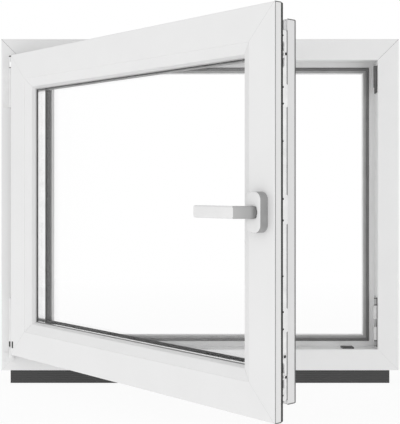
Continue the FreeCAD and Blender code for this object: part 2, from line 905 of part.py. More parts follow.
# Pieces that swing with the sash, made closed
sash_bars = mitred_ring(sash_profile(), sash_ring)
bead_bars = mitred_ring(bead_profile(), sash_ring)
swinging_pieces = {
    "corner_knuckle": corner_knuckle(),
    "corner_band": corner_band(),
    "sash_top_rail": sash_bars["top"],
    "sash_bottom_rail": sash_bars["bottom"],
    "sash_left_stile": sash_bars["left"],
    "sash_right_stile": sash_bars["right"],
    "bead_top": bead_bars["top"],
    "bead_bottom": bead_bars["bottom"],
    "bead_left": bead_bars["left"],
    "bead_right": bead_bars["right"],
    "inner_pane": pane(inner_pane_front),
    "outer_pane": pane(outer_pane_front),
    "spacer_bar": one_piece_ring(spacer_profile(), sash_ring),
    "inner_glazing_gasket": one_piece_ring(
        glazing_gasket_profile(bead_back, inner_gasket_depth), sash_ring),
    "outer_glazing_gasket": one_piece_ring(
        glazing_gasket_profile(outer_gasket_front, outer_gasket_depth), sash_ring),
    "sash_gasket": sash_gasket(),
    "lock_faceplate": lock_faceplate(),
    "stay_guide": stay_guide(),
    "stay_arm": stay_arm(),
    "drive_rod": drive_rod(),
    "locking_cams": locking_cams(),
    "handle_rosette": handle_rosette(),
    "handle_lever": handle_lever(),
}
for name, piece in swinging_pieces.items():
    pieces[name] = opened(piece)

os.makedirs("parts", exist_ok=True)
for name, piece in pieces.items():
    piece.exportStep("parts/" + name + ".step")
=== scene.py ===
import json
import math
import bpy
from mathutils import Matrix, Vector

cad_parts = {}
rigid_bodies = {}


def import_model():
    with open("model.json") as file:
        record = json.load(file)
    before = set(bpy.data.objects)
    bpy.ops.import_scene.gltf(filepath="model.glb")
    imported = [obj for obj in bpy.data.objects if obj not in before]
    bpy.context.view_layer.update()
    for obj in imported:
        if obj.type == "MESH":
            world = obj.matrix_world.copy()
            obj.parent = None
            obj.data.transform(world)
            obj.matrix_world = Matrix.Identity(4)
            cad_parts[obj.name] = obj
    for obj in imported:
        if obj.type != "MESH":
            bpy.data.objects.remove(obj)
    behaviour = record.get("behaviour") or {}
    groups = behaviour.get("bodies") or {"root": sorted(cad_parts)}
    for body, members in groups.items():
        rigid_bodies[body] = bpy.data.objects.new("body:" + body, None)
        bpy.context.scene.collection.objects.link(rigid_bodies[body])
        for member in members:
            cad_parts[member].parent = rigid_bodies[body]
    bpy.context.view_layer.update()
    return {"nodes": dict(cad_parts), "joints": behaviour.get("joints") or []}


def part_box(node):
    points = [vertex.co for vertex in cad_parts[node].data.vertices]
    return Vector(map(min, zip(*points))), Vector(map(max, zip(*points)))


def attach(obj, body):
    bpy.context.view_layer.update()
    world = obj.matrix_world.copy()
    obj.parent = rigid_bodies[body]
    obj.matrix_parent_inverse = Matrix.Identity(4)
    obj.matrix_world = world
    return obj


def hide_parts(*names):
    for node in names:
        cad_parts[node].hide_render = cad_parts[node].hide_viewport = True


bl_info = {
    "name": "Tilt and turn window dressing",
    "version": (1, 0, 0),
    "blender": (4, 5, 0),
    "location": "View3D > Sidebar > Window",
    "description": "Finishes, weld seams, glazing details, screws and a studio for the packed window",
    "category": "Object",
}

import bmesh
import bpy
from bpy.props import FloatProperty, FloatVectorProperty, PointerProperty
from mathutils import Matrix, Vector

for leftover in list(bpy.data.objects):
    bpy.data.objects.remove(leftover)
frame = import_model()

MM = 0.001
# Length of one band of Blender's wave texture at scale 1
WAVE_TURN = math.pi / 10

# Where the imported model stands, in metres, as read from its nodes and joints
JOINTS = {joint["name"]: joint for joint in frame["joints"]}
HINGE = Vector(JOINTS["sash_turn"]["pos_m"])
OPEN_TURN = math.radians(JOINTS["sash_turn"]["range_deg"][0])
FRAME_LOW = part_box("frame_bottom_rail")[0]
FRAME_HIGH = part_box("frame_top_rail")[1]
WINDOW_MIDDLE = (FRAME_LOW.z + FRAME_HIGH.z) / 2
SASH_HALF_HEIGHT = (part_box("sash_top_rail")[1].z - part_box("sash_bottom_rail")[0].z) / 2

# Sizes repeated from the part's source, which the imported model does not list
LIP_MARGIN = 40 * MM
SASH_STEP = 21 * MM
SASH_HALF_WIDTH = FRAME_HIGH.x - LIP_MARGIN
SASH_FRONT = FRAME_LOW.y - SASH_STEP
# The sash's hardware runs along an edge that stands in from the front lip, at this depth
EDGE_STEP = 20 * MM
EDGE_MIDDLE = 40 * MM
LEVER_HEIGHT = 20.5 * MM
LEVER_EDGE = 3 * MM
# Corners of the lever seen from above: along from its spindle, out from the sash, rounding
LEVER_PLAN = (
    (9.5, 18.3, 0), (-9.5, 52, 5), (-110, 50, 5),
    (-110, 38.5, 4.5), (-28.5, 39.5, 8), (-9.5, 18.3, 0),
)
# Side of the line across the lever's bend on which its neck lies
NECK_SIDE = -1
# Length over which the painted shade on the neck fades out from the rosette, and the place on it of
# the middle grey
NECK_SHADE_LENGTH = 30 * MM
NECK_SHADE_MIDDLE = 0.3
# Half width, half height and corner radius of the rosette, in millimetres
ROSETTE_PLAN = (16.5, 33, 13)
ROSETTE_RISE = 18 * MM
ROSETTE_EDGE = 2.2 * MM
ROSETTE_STEPS = 12
# Faces whose normal looks less far out of the sash than this are the rosette's rim
RIM_LIMIT = 0.4
COLLAR_RADIUS = 10.5 * MM
COLLAR_RISE = 4 * MM
COLLAR_EDGE = 1 * MM
COLLAR_SIDES = 48

# Rows of places in a section: in from the outer edge and back from the front, in millimetres
FRAME_MITRES = (
    ((0, 1.5), (0.45, 0.45), (1.5, 0), (45, 0), (47.1, 0.9), (47.9, 3), (45.2, 52.5)),
    ((0, 68.5), (0.45, 69.55), (1.5, 70), (65, 70), (72.5, 63.8)),
)
SASH_MITRES = (
    ((0, 1.9), (0, 1.5), (0.45, 0.45), (1.5, 0), (57.2, 0)),
    ((20.6, 69.4), (22, 70), (74.2, 70), (78.8, 65.2), (80, 56.5)),
)
CORNER_EDGES = (((0, 15.5), (0, 1.5)), ((20, 20.5), (20, 28.5)), ((20, 51.5), (20, 68.5)))
BEAD_MITRES = (((58.2, 0.9), (73.9, 7.15), (75.6, 8.1), (76.7, 9.3), (79.9, 14.9)),)
# Single places in the sash's section, from which a line runs round the sash
# The first two carry dark lines of painted shade: in the lip's front groove and along the sash's back
# edge
FRONT_SHADE_LINE = (0.4, 2.6)
BACK_SHADE_LINE = (20.4, 69.4)
BUTYL_LINES = ((78.3, 24.5), (78.3, 43.5))
HOLE_LINE = (78.05, 34)
TAIL_RIBS = ((79.7, 57), (79.5, 58.8))
BEAD_LIP = (80.8, 18.4)
LIP_RIBS = ((0.6, 15.8), (1.0, 19.6))
# Sides of the sash, and those that have lip ribs: all but the last one, on the hinges
RING_SIDES = 4
LIP_SIDES = 3
# Depth of the gap behind the lock's faceplate, where a dark line of painted shade runs
GAP_DEPTH = 50.4 * MM

# Lock cases on the sash's edge: heights of their ends and screws, depths of their sides
CASE_SPANS = ((208, 248), (384, 433), (575, 614))
CASE_SCREWS = (214, 242, 391, 426, 581, 608)
CASE_SIDES = (29, 51)
CASE_ROUND = 3 * MM
CASE_SINK = 0.4 * MM
CASE_RISE = 0.8 * MM
CASE_EDGE = 0.3 * MM
# Heights of the lock edge's other screws, and how far the stay guide's are from the hinge line
EDGE_SCREWS = (106, 300, 520, 692)
GUIDE_SCREWS = (170, 310)
SCREW_SOCKET = 1.7 * MM
STUD_HEAD = {"Radius": 5 * MM, "Rise": 1.2 * MM, "Socket": 3 * MM}
STUD_LEVEL = 169 * MM
STUD_STEP = 4 * MM
# Locking cams: their radius, the collar at the foot and the tip with its socket
CAM_REACH = 3.5 * MM
FLANGE_LIFT = 0.2 * MM
FLANGE_RISE = 1.1 * MM
FLANGE_SOCKET = 0.5 * MM
TIP_LIFT = 7 * MM
TIP_RISE = 0.3 * MM
TIP_RADIUS = 3.3 * MM
# Bushes in the hinges' barrels: low and high in millimetres, first and last angle in degrees
BEARING_BUSH = ((712.4, 714.3, -50, 50), (737.5, 740.5, -60, 60))
CORNER_BUSH = ((86, 98, -85, 34),)
BUSH_OUTSIDE = 6.62 * MM
BUSH_INSIDE = 6.2 * MM
BUSH_EDGE = 0.05 * MM
BUSH_STEPS = 8
# Plug beside the lower hinge: near and far from the sash's edge, low and high, in millimetres
NOTCH_PLAN = (4.5, 10.5, 86, 101)
NOTCH_ROUND = 1.2 * MM
NOTCH_SINK = 0.5 * MM
NOTCH_RISE = 0.3 * MM
NOTCH_EDGE = 0.15 * MM
# How far below the sash's top the glazing rubber is painted pale, as painted light on its shaded top
# run, and over what height it fades
PAINTED_LIGHT_DROP = 80.8 * MM
PAINTED_LIGHT_FADE = 1.5 * MM
# Dark seams across the lower striker, in millimetres above its foot
STRIKER_SEAMS = (3, 15, 96, 111)
# How far the seams keep in from the striker's two sides, and the long line of painted shade back from
# its front
STRIKER_LEFT = 1 * MM
STRIKER_RIGHT = 3.2 * MM
STRIKER_BACK = 1.8 * MM

# Steps and proportions of round shapes
CORD_SIDES = 8
HOLE_SIDES = 8
HEAD_SIDES = 24
HEAD_TAPER = 0.82
SOCKET_SIDES = 6
SOCKET_RISE = 0.04 * MM
EDGE_STEPS = 4
SHARP_TURN = math.radians(40)
# A noise texture keeps between about these two values
NOISE_LOW = 0.3
NOISE_HIGH = 0.7
# Draw lines of an extruded bar are a hundred times as long as they are wide
DRAW_STRETCH = 0.01

# The photograph's camera
CAMERA_PLACE = (0.0, -2.176, 0.446)
CAMERA_LENS = 80.29
CAMERA_SHIFT = -0.0599
# Soft boxes: name, place, aim and width in metres, power in watts
LIGHTS = (
    ("key_light", (1.3, -2.8, 0.6), (0, -0.2, 0.3), 1.6, 6),
    ("fill_light", (-2.0, -2.0, 0.45), (-0.2, -0.3, 0.3), 0.8, 3),
)
FLOOR_HALF = 6.0
# Distances in metres over which the floor turns from shadowed to white
SHADOW_NEAR = 0.9
SHADOW_FAR = 2.4
# Direction from which the surroundings are brightest
BRIGHT_WAY = (-0.75, -0.65, -0.1)

IN_PLACE = Matrix.Identity(4)
OPENING = (
    Matrix.Translation(HINGE) @ Matrix.Rotation(OPEN_TURN, 4, "Z") @ Matrix.Translation(-HINGE)
)
HANDLE = OPENING.inverted() @ Vector(JOINTS["handle_turn"]["pos_m"])


def linear(hex_colour):
    """An sRGB hex colour as linear red, green and blue."""
    channels = [int(hex_colour[start:start + 2], 16) / 255 for start in (1, 3, 5)]
    return tuple(c / 12.92 if c <= 0.04045 else ((c + 0.055) / 1.055) ** 2.4 for c in channels)


def per_size(millimetres):
    """Texture scale on Object coordinates that gives features of that size."""
    return 1000 / millimetres


def add_node(tree, kind, inputs=None, **settings):
    """One node with its settings, each input set to a value or linked to a socket."""
    node = tree.nodes.new(kind)
    for name, value in settings.items():
        setattr(node, name, value)
    for name, value in (inputs or {}).items():
        if isinstance(value, bpy.types.NodeSocket):
            tree.links.new(value, node.inputs[name])
        else:
            node.inputs[name].default_value = value
    return node


def new_material(name, **constants):
    """A material with one Principled shader, the constants set on its own sockets."""
    material = bpy.data.materials.new(name)
    material.use_nodes = True
    shader = material.node_tree.nodes["Principled BSDF"]
    for socket, value in constants.items():
        shader.inputs[socket.replace("_", " ")].default_value = value
    return material, material.node_tree, shader


def textured(name, colour, shade, colour_size, roughness, bump_size, bump_depth,
             stretch=(1, 1, 1), turn=0.0, **constants):
    """A material whose colour, roughness and bump vary at real sizes, drawn out along stretch."""
    material, tree, shader = new_material(name, **constants)
    place = add_node(tree, "ShaderNodeTexCoord")
    turned = add_node(tree, "ShaderNodeMapping", {
        "Vector": place.outputs["Object"], "Rotation": (0, 0, turn)})
    drawn = add_node(tree, "ShaderNodeMapping", {
        "Vector": turned.outputs["Vector"], "Scale": stretch})
    cloud = add_node(tree, "ShaderNodeTexNoise", {
        "Vector": place.outputs["Object"], "Scale": per_size(colour_size), "Detail": 3.0})
    grain = add_node(tree, "ShaderNodeTexNoise", {
        "Vector": drawn.outputs["Vector"], "Scale": per_size(bump_size), "Detail": 2.0})
    ramp = add_node(tree, "ShaderNodeValToRGB", {"Fac": cloud.outputs["Fac"]})
    ramp.color_ramp.elements[0].position = NOISE_LOW
    ramp.color_ramp.elements[0].color = (*shade, 1)
    ramp.color_ramp.elements[1].position = NOISE_HIGH
    ramp.color_ramp.elements[1].color = (*colour, 1)
    gloss = add_node(tree, "ShaderNodeMapRange", {
        "Value": grain.outputs["Fac"], "From Min": NOISE_LOW, "From Max": NOISE_HIGH,
        "To Min": roughness[0], "To Max": roughness[1]})
    relief = add_node(tree, "ShaderNodeBump", {
        "Height": grain.outputs["Fac"], "Strength": 1.0, "Distance": bump_depth})
    tree.links.new(ramp.outputs["Color"], shader.inputs["Base Color"])
    tree.links.new(gloss.outputs["Result"], shader.inputs["Roughness"])
    tree.links.new(relief.outputs["Normal"], shader.inputs["Normal"])
    return material


def dress(material, *names):
    """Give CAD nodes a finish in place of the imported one."""
    for name in names:
        slots = frame["nodes"][name].data.materials
        slots.clear()
        slots.append(material)


def grown(name, points, edges, facings, tree, sizes, body):
    """A piece that a node tree grows on points and edges, made a plain mesh that rides on a body."""
    mesh = bpy.data.meshes.new(name)
    mesh.from_pydata(points, edges, [])
    if facings:
        facing = mesh.attributes.new("facing", "FLOAT_VECTOR", "POINT")
        facing.data.foreach_set("vector", [value for vector in facings for value in vector])
    piece = bpy.data.objects.new(name, mesh)
    bpy.context.scene.collection.objects.link(piece)
    modifier = piece.modifiers.new(name, "NODES")
    modifier.node_group = tree
    for item in tree.interface.items_tree:
        if item.in_out == "INPUT" and item.name in sizes:
            modifier[item.identifier] = sizes[item.name]
    depsgraph = bpy.context.evaluated_depsgraph_get()
    result = bpy.data.meshes.new_from_object(piece.evaluated_get(depsgraph), depsgraph=depsgraph)
    if not result.polygons:
        raise RuntimeError(name + " grew no faces")
    piece.modifiers.remove(modifier)
    piece.data = result
    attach(piece, body)


def new_tree(name, **sizes):
    """An empty geometry tree with named sizes, and its input node."""
    tree = bpy.data.node_groups.new(name, "GeometryNodeTree")
    tree.interface.new_socket("Geometry", in_out="INPUT", socket_type="NodeSocketGeometry")
    for size, value in sizes.items():
        socket = tree.interface.new_socket(size, in_out="INPUT", socket_type="NodeSocketFloat")
        socket.default_value = value
    tree.interface.new_socket("Geometry", in_out="OUTPUT", socket_type="NodeSocketGeometry")
    return tree, tree.nodes.new("NodeGroupInput")


def close_tree(tree, geometry, material, marked=None):
    """End a tree in Realize Instances and Set Material, with a second finish on marked faces."""
    real = add_node(tree, "GeometryNodeRealizeInstances", {"Geometry": geometry})
    last = add_node(tree, "GeometryNodeSetMaterial", {
        "Geometry": real.outputs["Geometry"], "Material": material})
    if marked:
        mark = add_node(tree, "GeometryNodeInputNamedAttribute", {"Name": "marked"},
                        data_type="BOOLEAN")
        last = add_node(tree, "GeometryNodeSetMaterial", {
            "Geometry": last.outputs["Geometry"], "Selection": mark.outputs["Attribute"],
            "Material": marked})
    add_node(tree, "NodeGroupOutput", {"Geometry": last.outputs["Geometry"]})
    return tree


def cord_tree(name, material):
    """A round cord along each line of points."""
    tree, given = new_tree(name, Radius=0.4 * MM)
    path = add_node(tree, "GeometryNodeMeshToCurve", {"Mesh": given.outputs["Geometry"]})
    section = add_node(tree, "GeometryNodeCurvePrimitiveCircle", {
        "Resolution": CORD_SIDES, "Radius": given.outputs["Radius"]})
    skin = add_node(tree, "GeometryNodeCurveToMesh", {
        "Curve": path.outputs["Curve"], "Profile Curve": section.outputs["Curve"], "Fill Caps": True})
    return close_tree(tree, skin.outputs["Mesh"], material)


def hole_row_tree(name, material):
    """A row of round holes along each line of points, drawn as discs of painted shade that face as
    told.
    """
    tree, given = new_tree(name, Radius=0.5 * MM, Pitch=4 * MM)
    path = add_node(tree, "GeometryNodeMeshToCurve", {"Mesh": given.outputs["Geometry"]})
    marks = add_node(tree, "GeometryNodeCurveToPoints", {
        "Curve": path.outputs["Curve"], "Length": given.outputs["Pitch"]}, mode="LENGTH")
    disc = add_node(tree, "GeometryNodeMeshCircle", {
        "Vertices": HOLE_SIDES, "Radius": given.outputs["Radius"]}, fill_type="NGON")
    facing = add_node(tree, "GeometryNodeInputNamedAttribute", {"Name": "facing"},
                      data_type="FLOAT_VECTOR")
    turn = add_node(tree, "FunctionNodeAlignRotationToVector", {
        "Vector": facing.outputs["Attribute"]}, axis="Z")
    row = add_node(tree, "GeometryNodeInstanceOnPoints", {
        "Points": marks.outputs["Points"], "Instance": disc.outputs["Mesh"],
        "Rotation": turn.outputs["Rotation"]})
    return close_tree(tree, row.outputs["Instances"], material)


def fastener_tree(name, head_finish, socket_shade_finish):
    """A low round head at each point, facing as told, with a six-sided socket drawn as a flat disc of
    painted shade.
    """
    tree, given = new_tree(name, Radius=3 * MM, Rise=0.6 * MM, Socket=1.5 * MM)
    rim = add_node(tree, "ShaderNodeMath", {
        0: given.outputs["Radius"], 1: HEAD_TAPER}, operation="MULTIPLY")
    head = add_node(tree, "GeometryNodeMeshCone", {
        "Vertices": HEAD_SIDES, "Radius Top": rim.outputs["Value"],
        "Radius Bottom": given.outputs["Radius"], "Depth": given.outputs["Rise"]})
    socket = add_node(tree, "GeometryNodeMeshCone", {
        "Vertices": SOCKET_SIDES, "Radius Top": given.outputs["Socket"],
        "Radius Bottom": given.outputs["Socket"], "Depth": SOCKET_RISE})
    top = add_node(tree, "ShaderNodeCombineXYZ", {"Z": given.outputs["Rise"]})
    lifted = add_node(tree, "GeometryNodeTransform", {
        "Geometry": socket.outputs["Mesh"], "Translation": top.outputs["Vector"]})
    socket_shade = add_node(tree, "GeometryNodeStoreNamedAttribute", {
        "Geometry": lifted.outputs["Geometry"], "Name": "marked", "Value": True},
        data_type="BOOLEAN", domain="FACE")
    fastener = add_node(tree, "GeometryNodeJoinGeometry")
    tree.links.new(head.outputs["Mesh"], fastener.inputs["Geometry"])
    tree.links.new(socket_shade.outputs["Geometry"], fastener.inputs["Geometry"])
    facing = add_node(tree, "GeometryNodeInputNamedAttribute", {"Name": "facing"},
                      data_type="FLOAT_VECTOR")
    turn = add_node(tree, "FunctionNodeAlignRotationToVector", {
        "Vector": facing.outputs["Attribute"]}, axis="Z")
    placed = add_node(tree, "GeometryNodeInstanceOnPoints", {
        "Points": given.outputs["Geometry"], "Instance": fastener.outputs["Geometry"],
        "Rotation": turn.outputs["Rotation"]})
    return close_tree(tree, placed.outputs["Instances"], head_finish, socket_shade_finish)


def rounded_outline(corners, steps=6):
    """Points of a closed outline through (a, b, radius) corners, each rounded by its own radius."""
    points = [Vector(corner[:2]) for corner in corners]
    outline = []
    for index, here in enumerate(points):
        radius = corners[index][2]
        back = (points[index - 1] - here).normalized()
        ahead = (points[(index + 1) % len(points)] - here).normalized()
        if radius == 0:
            outline.append(here)
            continue
        half_angle = back.angle(ahead) / 2
        centre = here + (back + ahead).normalized() * (radius / math.sin(half_angle))
        start = here + back * (radius / math.tan(half_angle)) - centre
        end = here + ahead * (radius / math.tan(half_angle)) - centre
        sweep = start.angle_signed(end)
        for step in range(steps + 1):
            turn = Matrix.Rotation(-sweep * step / steps, 2)
            outline.append(centre + turn @ start)
    return outline


def slab(mould, outline, low, high, to_place, edge, both_ends=True):
    """Add an outline drawn out from low to high, with its end edges rounded over, to a mould."""
    rings = []
    for level in (low, high):
        rings.append([mould.verts.new(to_place(point, level)) for point in outline])
    count = len(outline)
    for index in range(count):
        after = (index + 1) % count
        mould.faces.new((rings[0][index], rings[0][after], rings[1][after], rings[1][index]))
    ends = [mould.faces.new(ring) for ring in rings]
    bmesh.ops.recalc_face_normals(mould, faces=mould.faces)
    rims = [side for face in (ends if both_ends else ends[1:]) for side in face.edges]
    bmesh.ops.bevel(
        mould, geom=rims, offset=edge, segments=EDGE_STEPS, profile=0.5, affect="EDGES")


def cast(name, mould, materials, body, is_second=None, place=OPENING):
    """A smooth piece from a mould, put in place, its second finish where is_second says so."""
    bmesh.ops.recalc_face_normals(mould, faces=mould.faces)
    for face in mould.faces:
        face.smooth = True
        face.material_index = int(is_second(face)) if is_second else 0
    mesh = bpy.data.meshes.new(name)
    mould.to_mesh(mesh)
    mould.free()
    mesh.set_sharp_from_angle(angle=SHARP_TURN)
    for material in materials:
        mesh.materials.append(material)
    mesh.transform(place)
    piece = bpy.data.objects.new(name, mesh)
    bpy.context.scene.collection.objects.link(piece)
    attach(piece, body)
    return piece


def mitre_lines(half_width, half_height, front, section, ends=(-1, 1)):
    """Points and edges of one section line drawn down the mitres at a ring's low and high corners."""
    points = []
    edges = []
    for side in (-1, 1):
        for end in ends:
            first = len(points)
            for across, deep in section:
                points.append(Vector((
                    side * (half_width - across * MM),
                    front + deep * MM,
                    WINDOW_MIDDLE + end * (half_height - across * MM))))
            edges += [(index, index + 1) for index in range(first, len(points) - 1)]
    return points, edges


def ring_lines(across, deep):
    """Points and edges of four lines round the closed sash, at one place of its section."""
    right = SASH_HALF_WIDTH - across * MM
    rise = SASH_HALF_HEIGHT - across * MM
    y = SASH_FRONT + deep * MM
    corners = [(-right, -rise), (right, -rise), (right, rise), (-right, rise)]
    points = []
    for index, start in enumerate(corners):
        for x, z in (start, corners[(index + 1) % len(corners)]):
            points.append(Vector((x, y, WINDOW_MIDDLE + z)))
    return points, [(first, first + 1) for first in range(0, len(points), 2)]


def ring_facings():
    """Ways that the points of ring_lines face: into the window."""
    inward = ((0, 0, 1), (-1, 0, 0), (0, 0, -1), (1, 0, 0))
    return [Vector(way) for way in inward for end in range(2)]


def gathered(lines):
    """Several sets of points and edges as one."""
    points = []
    edges = []
    for more_points, more_edges in lines:
        edges += [(a + len(points), b + len(points)) for a, b in more_edges]
        points += more_points
    return points, edges


def corded(name, lines, tree, radius, body, place=OPENING):
    """Cords of one radius along lines of the closed window, put in place."""
    points, edges = gathered(lines)
    placed = [place @ point for point in points]
    grown(name, placed, edges, None, tree, {"Radius": radius}, body)


class WindowSizes(bpy.types.PropertyGroup):
    """Sizes of the dressing pieces."""

    seam_radius: FloatProperty(
        name="Weld seam radius", description="Half the width of the scraped weld at a PVC corner",
        default=0.35 * MM, min=0, unit="LENGTH")
    sash_seam_radius: FloatProperty(
        name="Sash seam radius", description="Half the width of the finer weld at a sash corner",
        default=0.16 * MM, min=0, unit="LENGTH")
    corner_seam_radius: FloatProperty(
        name="Corner seam radius", description="Half the width of the weld along a sash corner's edge",
        default=0.8 * MM, min=0, unit="LENGTH")
    # Painted shade: the width of the grey lines in the lip's groove and the faceplate's gap
    front_shade_line_radius: FloatProperty(
        name="Edge line radius", description="Half the width of the grey lines at the sash's front",
        default=0.75 * MM, min=0, unit="LENGTH")
    # Painted shade: the width of the dark line along the sash's back edge
    back_shade_line_radius: FloatProperty(
        name="Back line radius", description="Half the width of the grey line at the sash's back",
        default=1.3 * MM, min=0, unit="LENGTH")
    bead_joint_radius: FloatProperty(
        name="Bead joint radius", description="Half the width of the cut between two glazing beads",
        default=0.22 * MM, min=0, unit="LENGTH")
    butyl_radius: FloatProperty(
        name="Butyl radius", description="Radius of the sealant between spacer bar and glass",
        default=0.35 * MM, min=0, unit="LENGTH")
    gasket_rib_radius: FloatProperty(
        name="Gasket rib radius", description="Radius of the ribs on the outer gasket's tail",
        default=1.0 * MM, min=0, unit="LENGTH")
    bead_lip_radius: FloatProperty(
        name="Bead lip radius", description="Radius of the grey rubber lip along the glazing beads",
        default=0.9 * MM, min=0, unit="LENGTH")
    lip_rib_radius: FloatProperty(
        name="Lip rib radius", description="Radius of the ribs along the overlap gasket",
        default=0.8 * MM, min=0, unit="LENGTH")
    # Also the width of the line of painted shade down the striker's edge
    striker_seam_radius: FloatProperty(
        name="Striker seam radius", description="Half the width of the lower striker's dark seams",
        default=0.9 * MM, min=0, unit="LENGTH")
    hole_radius: FloatProperty(
        name="Spacer hole radius", description="Radius of the drying holes in the spacer bar",
        default=0.45 * MM, min=0, unit="LENGTH")
    hole_pitch: FloatProperty(
        name="Spacer hole pitch", description="Distance between drying holes",
        default=4 * MM, min=0.5 * MM, unit="LENGTH")
    screw_radius: FloatProperty(
        name="Screw radius", description="Radius of a screw head",
        default=3 * MM, min=0, unit="LENGTH")
    screw_rise: FloatProperty(
        name="Screw rise", description="How far a screw head stands out of its plate",
        default=0.5 * MM, min=0, unit="LENGTH")
    cam_flange_radius: FloatProperty(
        name="Cam flange radius", description="Radius of the collar under each locking cam",
        default=6.2 * MM, min=0, unit="LENGTH")
    cam_socket_radius: FloatProperty(
        name="Cam socket radius", description="Radius of the adjusting socket in each locking cam",
        default=2.8 * MM, min=0, unit="LENGTH")
    rib_pitch: FloatProperty(
        name="Sill rib pitch", description="Height from one fine rib of the sill to the next",
        default=4.5 * MM, min=0.5 * MM, unit="LENGTH")


class WindowColours(bpy.types.PropertyGroup):
    """Colours of the finishes, linear."""

    pvc: FloatVectorProperty(
        name="PVC", description="White window PVC", subtype="COLOR", default=linear("#ECECEC"))
    pvc_shade: FloatVectorProperty(
        name="PVC shade", description="White PVC where it is a little dull", subtype="COLOR",
        default=linear("#EAEAEA"))
    seam: FloatVectorProperty(
        name="Weld seam", description="Scraped PVC weld", subtype="COLOR", default=linear("#ABABAB"))
    sash_seam: FloatVectorProperty(
        name="Sash seam", description="Polished PVC weld", subtype="COLOR", default=linear("#D4D4D4"))
    # Painted shade in the lip's groove, the faceplate's gap and along the sash's back edge; also the
    # welds along the sash's corner edges
    seam_and_shade_grey: FloatVectorProperty(
        name="Edge line", description="Grey plastic in the grooves of the sash's edges",
        subtype="COLOR", default=linear("#6A6A6A"))
    gasket: FloatVectorProperty(
        name="Gasket", description="Dark sealing rubber", subtype="COLOR", default=linear("#262626"))
    gasket_tail: FloatVectorProperty(
        name="Gasket tail", description="Worn tail of the outer glazing rubber", subtype="COLOR",
        default=linear("#585858"))
    # Painted light: the pale colour of the rubbers' top run along the sash's head, which lies in shade
    painted_head_light: FloatVectorProperty(
        name="Rubber bloom", description="Pale wax bloom on the rubber under the sash's head",
        subtype="COLOR", default=linear("#C4C4C4"))
    inner_gasket: FloatVectorProperty(
        name="Inner gasket", description="Grey sealing rubber of the glazing beads", subtype="COLOR",
        default=linear("#8C8C8C"))
    frame_gasket: FloatVectorProperty(
        name="Frame gasket", description="Grey rubber lip of the frame's seal", subtype="COLOR",
        default=linear("#727272"))
    strip: FloatVectorProperty(
        name="Grey strip", description="Pale rubber welded on along the frame's seal",
        subtype="COLOR", default=linear("#A8A8A8"))
    sill: FloatVectorProperty(
        name="Sill", description="Dark grey PVC of the sill profile", subtype="COLOR",
        default=linear("#404040"))
    # Painted shade: the darker tone between the sill's ribs
    sill_rib_shade: FloatVectorProperty(
        name="Sill groove", description="Dark grey PVC between the sill's ribs", subtype="COLOR",
        default=linear("#2A2A2A"))
    butyl: FloatVectorProperty(
        name="Butyl", description="Sealant between spacer bar and glass", subtype="COLOR",
        default=linear("#3A3A3A"))
    # Painted shade: the grey of the drying holes, laid on flat discs
    spacer_hole_shade: FloatVectorProperty(
        name="Spacer hole", description="Drying holes of the spacer bar", subtype="COLOR",
        default=linear("#8A8A8A"))
    # This nylon also draws the line of painted shade down the lower striker's edge
    nylon: FloatVectorProperty(
        name="Nylon", description="Dark nylon of bushes, plug and seams", subtype="COLOR",
        default=linear("#2C2C2C"))
    rubbed_nylon: FloatVectorProperty(
        name="Rubbed nylon", description="Nylon of the run-up block", subtype="COLOR",
        default=linear("#525252"))
    # Painted shade: the dark of a screw's or cam's socket, laid on a flat disc
    socket_shade: FloatVectorProperty(
        name="Screw recess", description="Depth of a screw's socket", subtype="COLOR",
        default=linear("#242424"))
    steel: FloatVectorProperty(
        name="Steel", description="Zinc plated steel", subtype="COLOR", default=linear("#F4F4F4"))
    zinc: FloatVectorProperty(
        name="Dark zinc", description="Dark cast zinc", subtype="COLOR", default=linear("#626262"))
    spacer: FloatVectorProperty(
        name="Spacer", description="Bright rolled aluminium", subtype="COLOR",
        default=linear("#FAFAFA"))
    coating: FloatVectorProperty(
        name="Handle coating", description="White powder coat", subtype="COLOR",
        default=linear("#EBEBEB"))
    neck: FloatVectorProperty(
        name="Handle neck", description="Grey satin coat of the lever's neck, next to the grip",
        subtype="COLOR", default=linear("#B4B4B4"))
    # Painted shade: the neck's grey darkens through the bend's colour to this one next to the rosette
    neck_shade_at_rosette: FloatVectorProperty(
        name="Neck foot", description="Grey satin coat of the lever's neck, next to the rosette",
        subtype="COLOR", default=linear("#4E4E4E"))
    # Painted shade, part way between the neck's grey and its dark foot
    neck_shade_at_bend: FloatVectorProperty(
        name="Neck middle", description="Grey satin coat at the bend of the lever's neck",
        subtype="COLOR", default=linear("#A4A4A4"))
    rim: FloatVectorProperty(
        name="Rosette rim", description="Grey satin coat of the rosette's rim",
        subtype="COLOR", default=linear("#A0A0A0"))
    striker: FloatVectorProperty(
        name="Striker", description="Dull zinc of the lower striker", subtype="COLOR",
        default=linear("#CCCCCC"))


